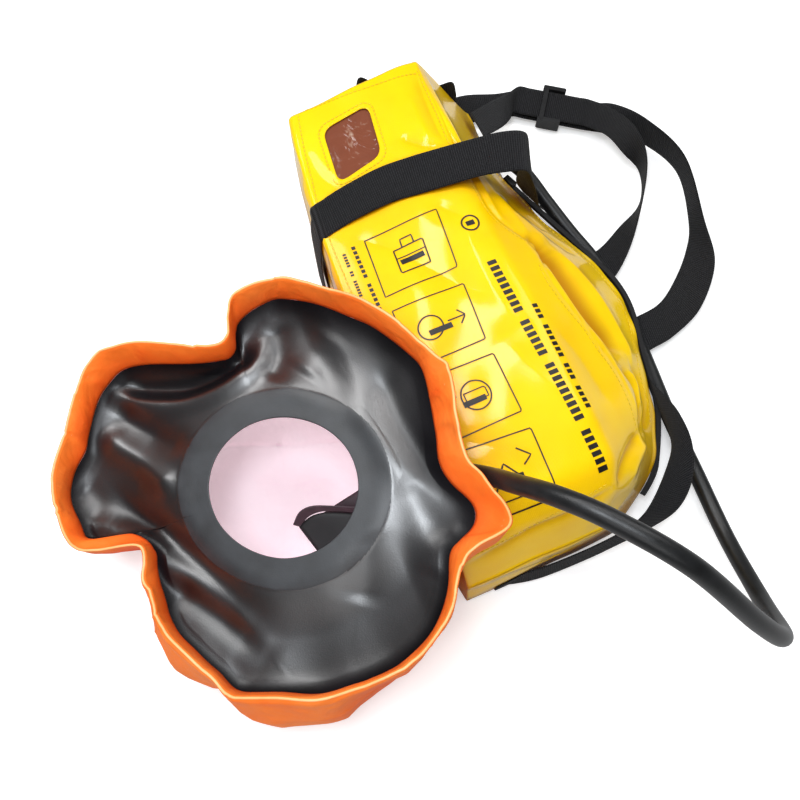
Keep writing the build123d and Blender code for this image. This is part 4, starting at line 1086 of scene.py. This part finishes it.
# lining: inside of the wall and the crown lying on the floor
lining_rows, lining_down = [ring_of(seal_r - 0.3, seal_z - 2)], [0.0]
for i, row in enumerate(hood[WALL_FROM + 10:WALL_FROM + WALL_ROWS]):
    reach_ = np.hypot(*(row[:, :2] - CENTRE).T)
    keep = np.minimum(reach_ - 2.4, seal_r - 0.3 + 1.5 * np.maximum(0, seal_z - 2 - row[:, 2]))
    r = row.copy()
    r[:, :2] = CENTRE + (row[:, :2] - CENTRE) * (keep / reach_)[:, None]
    lining_rows.append(r)
    lining_down.append(30 + 3.2 * i)
foot = lining_rows[-1]
LINING_FOLDS = [
    ([(-262, -6), (-215, -23), (-179, -39), (-122, -58)], 3.4, 1.6, 4.0),
    ([(-250, -100), (-236, -140), (-232, -170)], 2.5, 6, 9),
    ([(-210, -60), (-190, -40), (-180, -20)], 2.5, 8, 8),
    ([(-170, -80), (-150, -110), (-140, -150)], 3, 7, 10),
]
for scale in np.linspace(0.97, 0.01, 46):
    xy = CENTRE + (foot[:, :2] - CENTRE) * scale
    fall = 6.5 + ripples(xy[:, 0], xy[:, 1], 21, 60, 2.0) * (1 - scale)
    fall += folds(xy[:, 0], xy[:, 1], LINING_FOLDS)
    lining_rows.append(np.concatenate([xy, np.maximum(fall, 3.0)[:, None]], 1))
    lining_down.append(lining_down[-1] + 3)
inner = np.array(lining_rows).reshape(-1, 3)
lining_o = piece("hood_lining", inner, grid_faces(len(lining_rows), SECTORS, wrap=True), lining, "hood",
                 round_fabric(lining_down).reshape(-1, 3))

# neck seal: slack sheet from the neck hole to the rim seam
SEAL_FOLDS = [
    ([(-123, 162), (-103, 136), (-72, 116), (-39, 106), (-9, 104), (19, 111), (42, 138)], 7, 7, 9),
    ([(-112, 160), (-71, 136), (-39, 122), (-10, 120), (18, 136)], -8, 6, 8),
    ([(-132, 126), (-127, 105), (-109, 78), (-88, 34)], 8, 9, 10),
    ([(-122, 143), (-92, 100), (-64, 64)], -5, 9, 9),
    ([(-170, 60), (-155, 36), (-130, 17), (-114, -11), (-94, -40), (-75, -68), (-65, -94), (-56, -118)],
     8.5, 9, 12),
    ([(-120, -40), (-101, -69), (-83, -102), (-70, -123)], 3, 10, 11),
    ([(-152, 87), (-131, 42), (-101, -1), (-83, -40), (-67, -80), (-60, -110)], -6, 9, 12),
    ([(-120, -22), (-103, -48), (-83, -80), (-63, -110)], -4, 9, 9),
    ([(-168, 88), (-160, 66), (-170, 48)], -2, 9, 9),
    ([(84, 60), (86, 22), (90, -9), (94, -33), (103, -56), (119, -80)], 5, 7, 12),
    ([(112, 60), (108, 15), (111, -15), (116, -40), (123, -70)], -9, 9, 8),
    ([(120, -94), (101, -95), (80, -115)], 5, 9, 7),
    ([(45, -58), (36, -84), (20, -110)], -3, 12, 16),
    ([(48, 80), (70, 91), (91, 101)], 4, 14, 14),
    ([(112, -100), (98, -80), (96, -40)], -4, 9, 9),
    ([(20, 88), (34, 104), (44, 140)], -4, 10, 12),
]
SEAL_ROWS = 120
span = np.linspace(0, 1, SEAL_ROWS)
HOLE = [(54, -28), (58, 2), (46, 31), (21, 53), (-10, 61), (-39, 52), (-57, 29), (-59, -2), (-45, -31),
        (-20, -52), (10, -58), (36, -49)]
hole_r = radius_at(HOLE, theta)[None, :]
rr = hole_r + (seal_r[None, :] - 0.6 - hole_r) * span[:, None]
sx, sy = rr * np.cos(theta), rr * np.sin(theta)
sag = 0.8 * folds(sx / 0.963, sy, [(line, h, a * 1.2, b * 1.2) for line, h, a, b in SEAL_FOLDS])
room = seal_r[None, :] - hole_r
inward = (1 - span[:, None]) * room
grip = ease((rr / hole_r - 1.08) / 0.4)
slack = -11.0 * (1 - np.exp(-inward / 15)) * ease((rr / hole_r - 1.2) / 0.9) * ease(room / 60)
sag = (slack + (sag + ripples(sx, sy, 31, 90, 0.9)) * np.clip(inward / 9, 0, 1)) * grip
sag = np.where(sag < 0, sag * (1 - 0.62 * ease((sx - 62) / 26)), sag)
# painted shade where the rim would throw the edge of the sheet into shade, most on the side next to the
# bag, and in deep sags
SHADE_REACH = [(0, 27), (50, 25), (66, 15), (120, 13), (200, 12), (215, 8), (300, 8), (325, 22), (360, 27)]
seal_painted_shade = 0.9 * np.exp(-((inward / np.interp(degrees_, *zip(*SHADE_REACH))) ** 2))
seal_painted_shade = np.maximum(seal_painted_shade, 0.6 * ease(-sag / 22))
# small step down from the neck ring to the sheet
roll = -ease((rr / hole_r - 1.41) / 0.05)
sz = rim_height(CENTRE[0] + sx) - SEAL_DEPTH + sag + roll * 0.35
sheet = np.stack([CENTRE[0] + sx, CENTRE[1] + sy, sz], -1)
under = sheet[:1].copy()
under[..., 2] -= 1.5
back = under.copy()
back[..., :2] = CENTRE + (under[..., :2] - CENTRE) * 1.05
sheet = np.concatenate([back, under, sheet], 0)
seal_painted_shade = np.pad(seal_painted_shade, ((2, 0), (0, 0)))
fab_s = np.stack([sheet[..., 0], sheet[..., 1], np.zeros(sheet.shape[:2])], -1)
seal_faces = grid_faces(len(sheet), SECTORS, wrap=True)
ring_face = np.concatenate([np.ones(2 * SECTORS, bool), (rr / hole_r)[1:].ravel() <= 1.44])
seal_o = piece("seal_sheet", sheet.reshape(-1, 3), seal_faces, seal_rubber, "hood", fab_s.reshape(-1, 3),
               seal_painted_shade)
seal_o.data.materials.append(ring_rubber)
seal_o.data.polygons.foreach_set("material_index", ring_face.astype(np.int32))
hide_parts("neck_seal", "neck_ring")

# folded hem along the crest, in a lighter orange that paints the highlight where the crest catches the
# light
hem_line = np.vstack([hood[INNER_ROWS], hood[INNER_ROWS][:1]])
p, f, fabric = tube(hem_line + np.array([0, 0, 0.2]), 0.95, 8)
hem = piece("hood_hem", p, f, hem_highlight_cloth, "hood", fabric)

# hood stitches along the rim
n_in = np.concatenate([-ray * 0.75, np.full((SECTORS, 1), 0.66)], 1)
hood_thread = stitches("hood_thread", [(hood[INNER_ROWS - 3] + n_in * 0.3, n_in)], thread_orange, "hood",
                       pitch=5.2, length=3.4, radius=0.32)

# head strap seen through the neck hole: the far layer, and the near layer folded over it; upper faces use a
# lighter copy of the strap as painted light, the fold's underside a darker copy as painted shade
HEAD_STRAPS = [
    ("head_strap_web", "head_strap", strap_lit, 2.0, 1.0,
     [(-196, -122, 50), (-176, -124, 57), (-158, -122, 62), (-138, -120, 68), (-116, -118, 76)],
     [(-190, -150, 44), (-172, -156, 50), (-152, -158, 56), (-130, -160, 62), (-112, -162, 70)]),
    ("head_strap_fold", None, strap_lit, 1.6, 0.0,
     [(-201, -124, 61), (-192, -117, 66), (-180, -117, 69), (-164, -124, 70), (-148, -132, 70),
      (-128, -142, 74)],
     [(-196, -127, 57), (-186, -123, 62), (-174, -124, 65), (-160, -130, 66), (-146, -137, 66),
      (-128, -146, 70)]),
    ("head_strap_under_shaded", None, strap_shaded, 1.6, 0.0,
     [(-197, -127, 57), (-186, -123.5, 61), (-174, -125, 64), (-160, -131, 65), (-146, -138, 65),
      (-128, -147, 69)],
     [(-189, -156, 52), (-178, -158, 54), (-166, -160, 56), (-154, -162, 58), (-142, -164, 60),
      (-126, -168, 64)]),
]
for name, node, material, thick, wave, one_edge, other_edge in HEAD_STRAPS:
    ribbon(name, one_edge, other_edge, "hood", node, material, thick, wave=wave)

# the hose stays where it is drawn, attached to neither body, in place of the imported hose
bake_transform(hose)
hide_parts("hose")

# ------------------------------------------------------------------ carried-over nodes
LOOK = [
    (window_clear, "window_film"), (zip_tape, "fastener_tape"), (bottle, "cylinder"),
    (web, "cylinder_straps"),
    (knob, "handwheel"), (dial, "gauge_dial"), (red, "gauge_needle"), (lens, "gauge_lens"),
    (silicone, "exhale_flap"), (o_ring, "neck_washer gland_seal inlet_washer"),
    (steel, "hose_ferrule handwheel_spindle handwheel_nut gauge_bezel reducer_spring"),
    (brass, "valve_body valve_stem gland_nut burst_plug gauge_case hose_fitting"),
    (brass, "reducer_body reducer_piston reducer_cap"),
    (black, "fastener_runner strap_slider fill_cap inlet_fitting inlet_nut diffuser"),
    (black, "exhale_seat exhale_nut exhale_cover"),
]
for material, nodes in LOOK:
    for node in nodes.split():
        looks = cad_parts[node].data.materials
        looks.clear()
        looks.append(material)

# the reducer spring: a world-space copy of its mesh stands in for the imported spring
spring_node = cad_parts["reducer_spring"]
coil_mesh = spring_node.data.copy()
coil_mesh.transform(spring_node.matrix_world)
coil = bpy.data.objects.new("spring_coil", coil_mesh)
bpy.context.scene.collection.objects.link(coil)
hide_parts("reducer_spring")
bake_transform(coil)

# ------------------------------------------------------------------ stage, light, camera


def paper_floor():
    """Pale paper to the camera, greyer to the light that it throws back on the object."""
    m = Mat("floor")
    seen = m.node("ShaderNodeLightPath").outputs["Is Camera Ray"]
    paper = m.ramp(m.noise(3), (0.3, (0.90, 0.90, 0.90)), (0.7, (0.93, 0.93, 0.93)))
    m.set(Base_Color=m.blend(seen, (0.5, 0.5, 0.5, 1), paper), Roughness=0.8, Emission_Color=(1, 1, 1, 1),
          Emission_Strength=m.math("MULTIPLY", seen, 0.34))
    bpy.ops.mesh.primitive_plane_add(size=9, location=(0, 0, -0.0005))
    floor = bpy.context.object
    floor.name = "floor"
    floor.data.materials.append(m.m)


def studio_world(strength, mirrored):
    """White surroundings, dimmer in glossy reflections."""
    world = bpy.data.worlds.new("studio")
    bpy.context.scene.world = world
    world.use_nodes = True
    nodes, links = world.node_tree.nodes, world.node_tree.links
    nodes["Background"].inputs[0].default_value = (1, 1, 1, 1)
    dim = nodes.new("ShaderNodeMapRange")
    dim.inputs["To Min"].default_value = strength
    dim.inputs["To Max"].default_value = mirrored
    links.new(nodes.new("ShaderNodeLightPath").outputs["Is Glossy Ray"], dim.inputs["Value"])
    links.new(dim.outputs[0], nodes["Background"].inputs[1])


def softbox(name, place, aim, size, power, tint=(1, 1, 1)):
    data = bpy.data.lights.new(name, "AREA")
    data.shape = "RECTANGLE"
    data.size, data.size_y = size
    data.energy = power
    data.color = tint
    o = bpy.data.objects.new(name, data)
    o.location = place
    o.rotation_euler = (Vector(aim) - Vector(place)).to_track_quat("-Z", "Y").to_euler()
    bpy.context.scene.collection.objects.link(o)


paper_floor()
studio_world(0.46, 0.07)
softbox("key", (-0.35, 0.85, 1.4), (0, 0, 0.05), (0.7, 0.5), 8)
softbox("overhead", (-0.27, -0.16, 1.2), (-0.2, -0.14, 0.12), (0.30, 0.34), 6.4, (0.9, 0.95, 1))
softbox("left", (-0.60, 0.62, 1.1), (-0.25, -0.06, 0.12), (0.16, 0.3), 0.9)
softbox("window", (0.95, 0.3, 1.2), (0, 0, 0.05), (0.4, 0.9), 3.5)
softbox("strip", (0.30, 0.46, 1.35), (0.02, 0.02, 0.1), (0.16, 0.5), 3.0)
softbox("fill", (-0.7, -1.1, 1.3), (-0.1, -0.1, 0), (1.0, 0.7), 4)



def look_at(target, azimuth, elevation, distance, focal):
    """Camera that looks down at a point of the floor."""
    data = bpy.data.cameras.new("camera")
    data.sensor_width = 36
    data.lens = focal
    data.clip_start = 0.02
    camera = bpy.data.objects.new("camera", data)
    az, el = radians(azimuth), radians(elevation)
    ahead = Vector((-sin(az) * cos(el), cos(az) * cos(el), -sin(el)))
    right = Vector((cos(az), sin(az), 0))
    turned = Matrix((right, right.cross(ahead), -ahead)).transposed().to_4x4()
    camera.matrix_world = Matrix.Translation(Vector(target) - ahead * distance) @ turned
    bpy.context.scene.collection.objects.link(camera)
    bpy.context.scene.camera = camera


look_at((-0.061, -0.035, 0), -23.5, 70, 0.773, 34.65)
bpy.context.scene.view_settings.view_transform = "Standard"
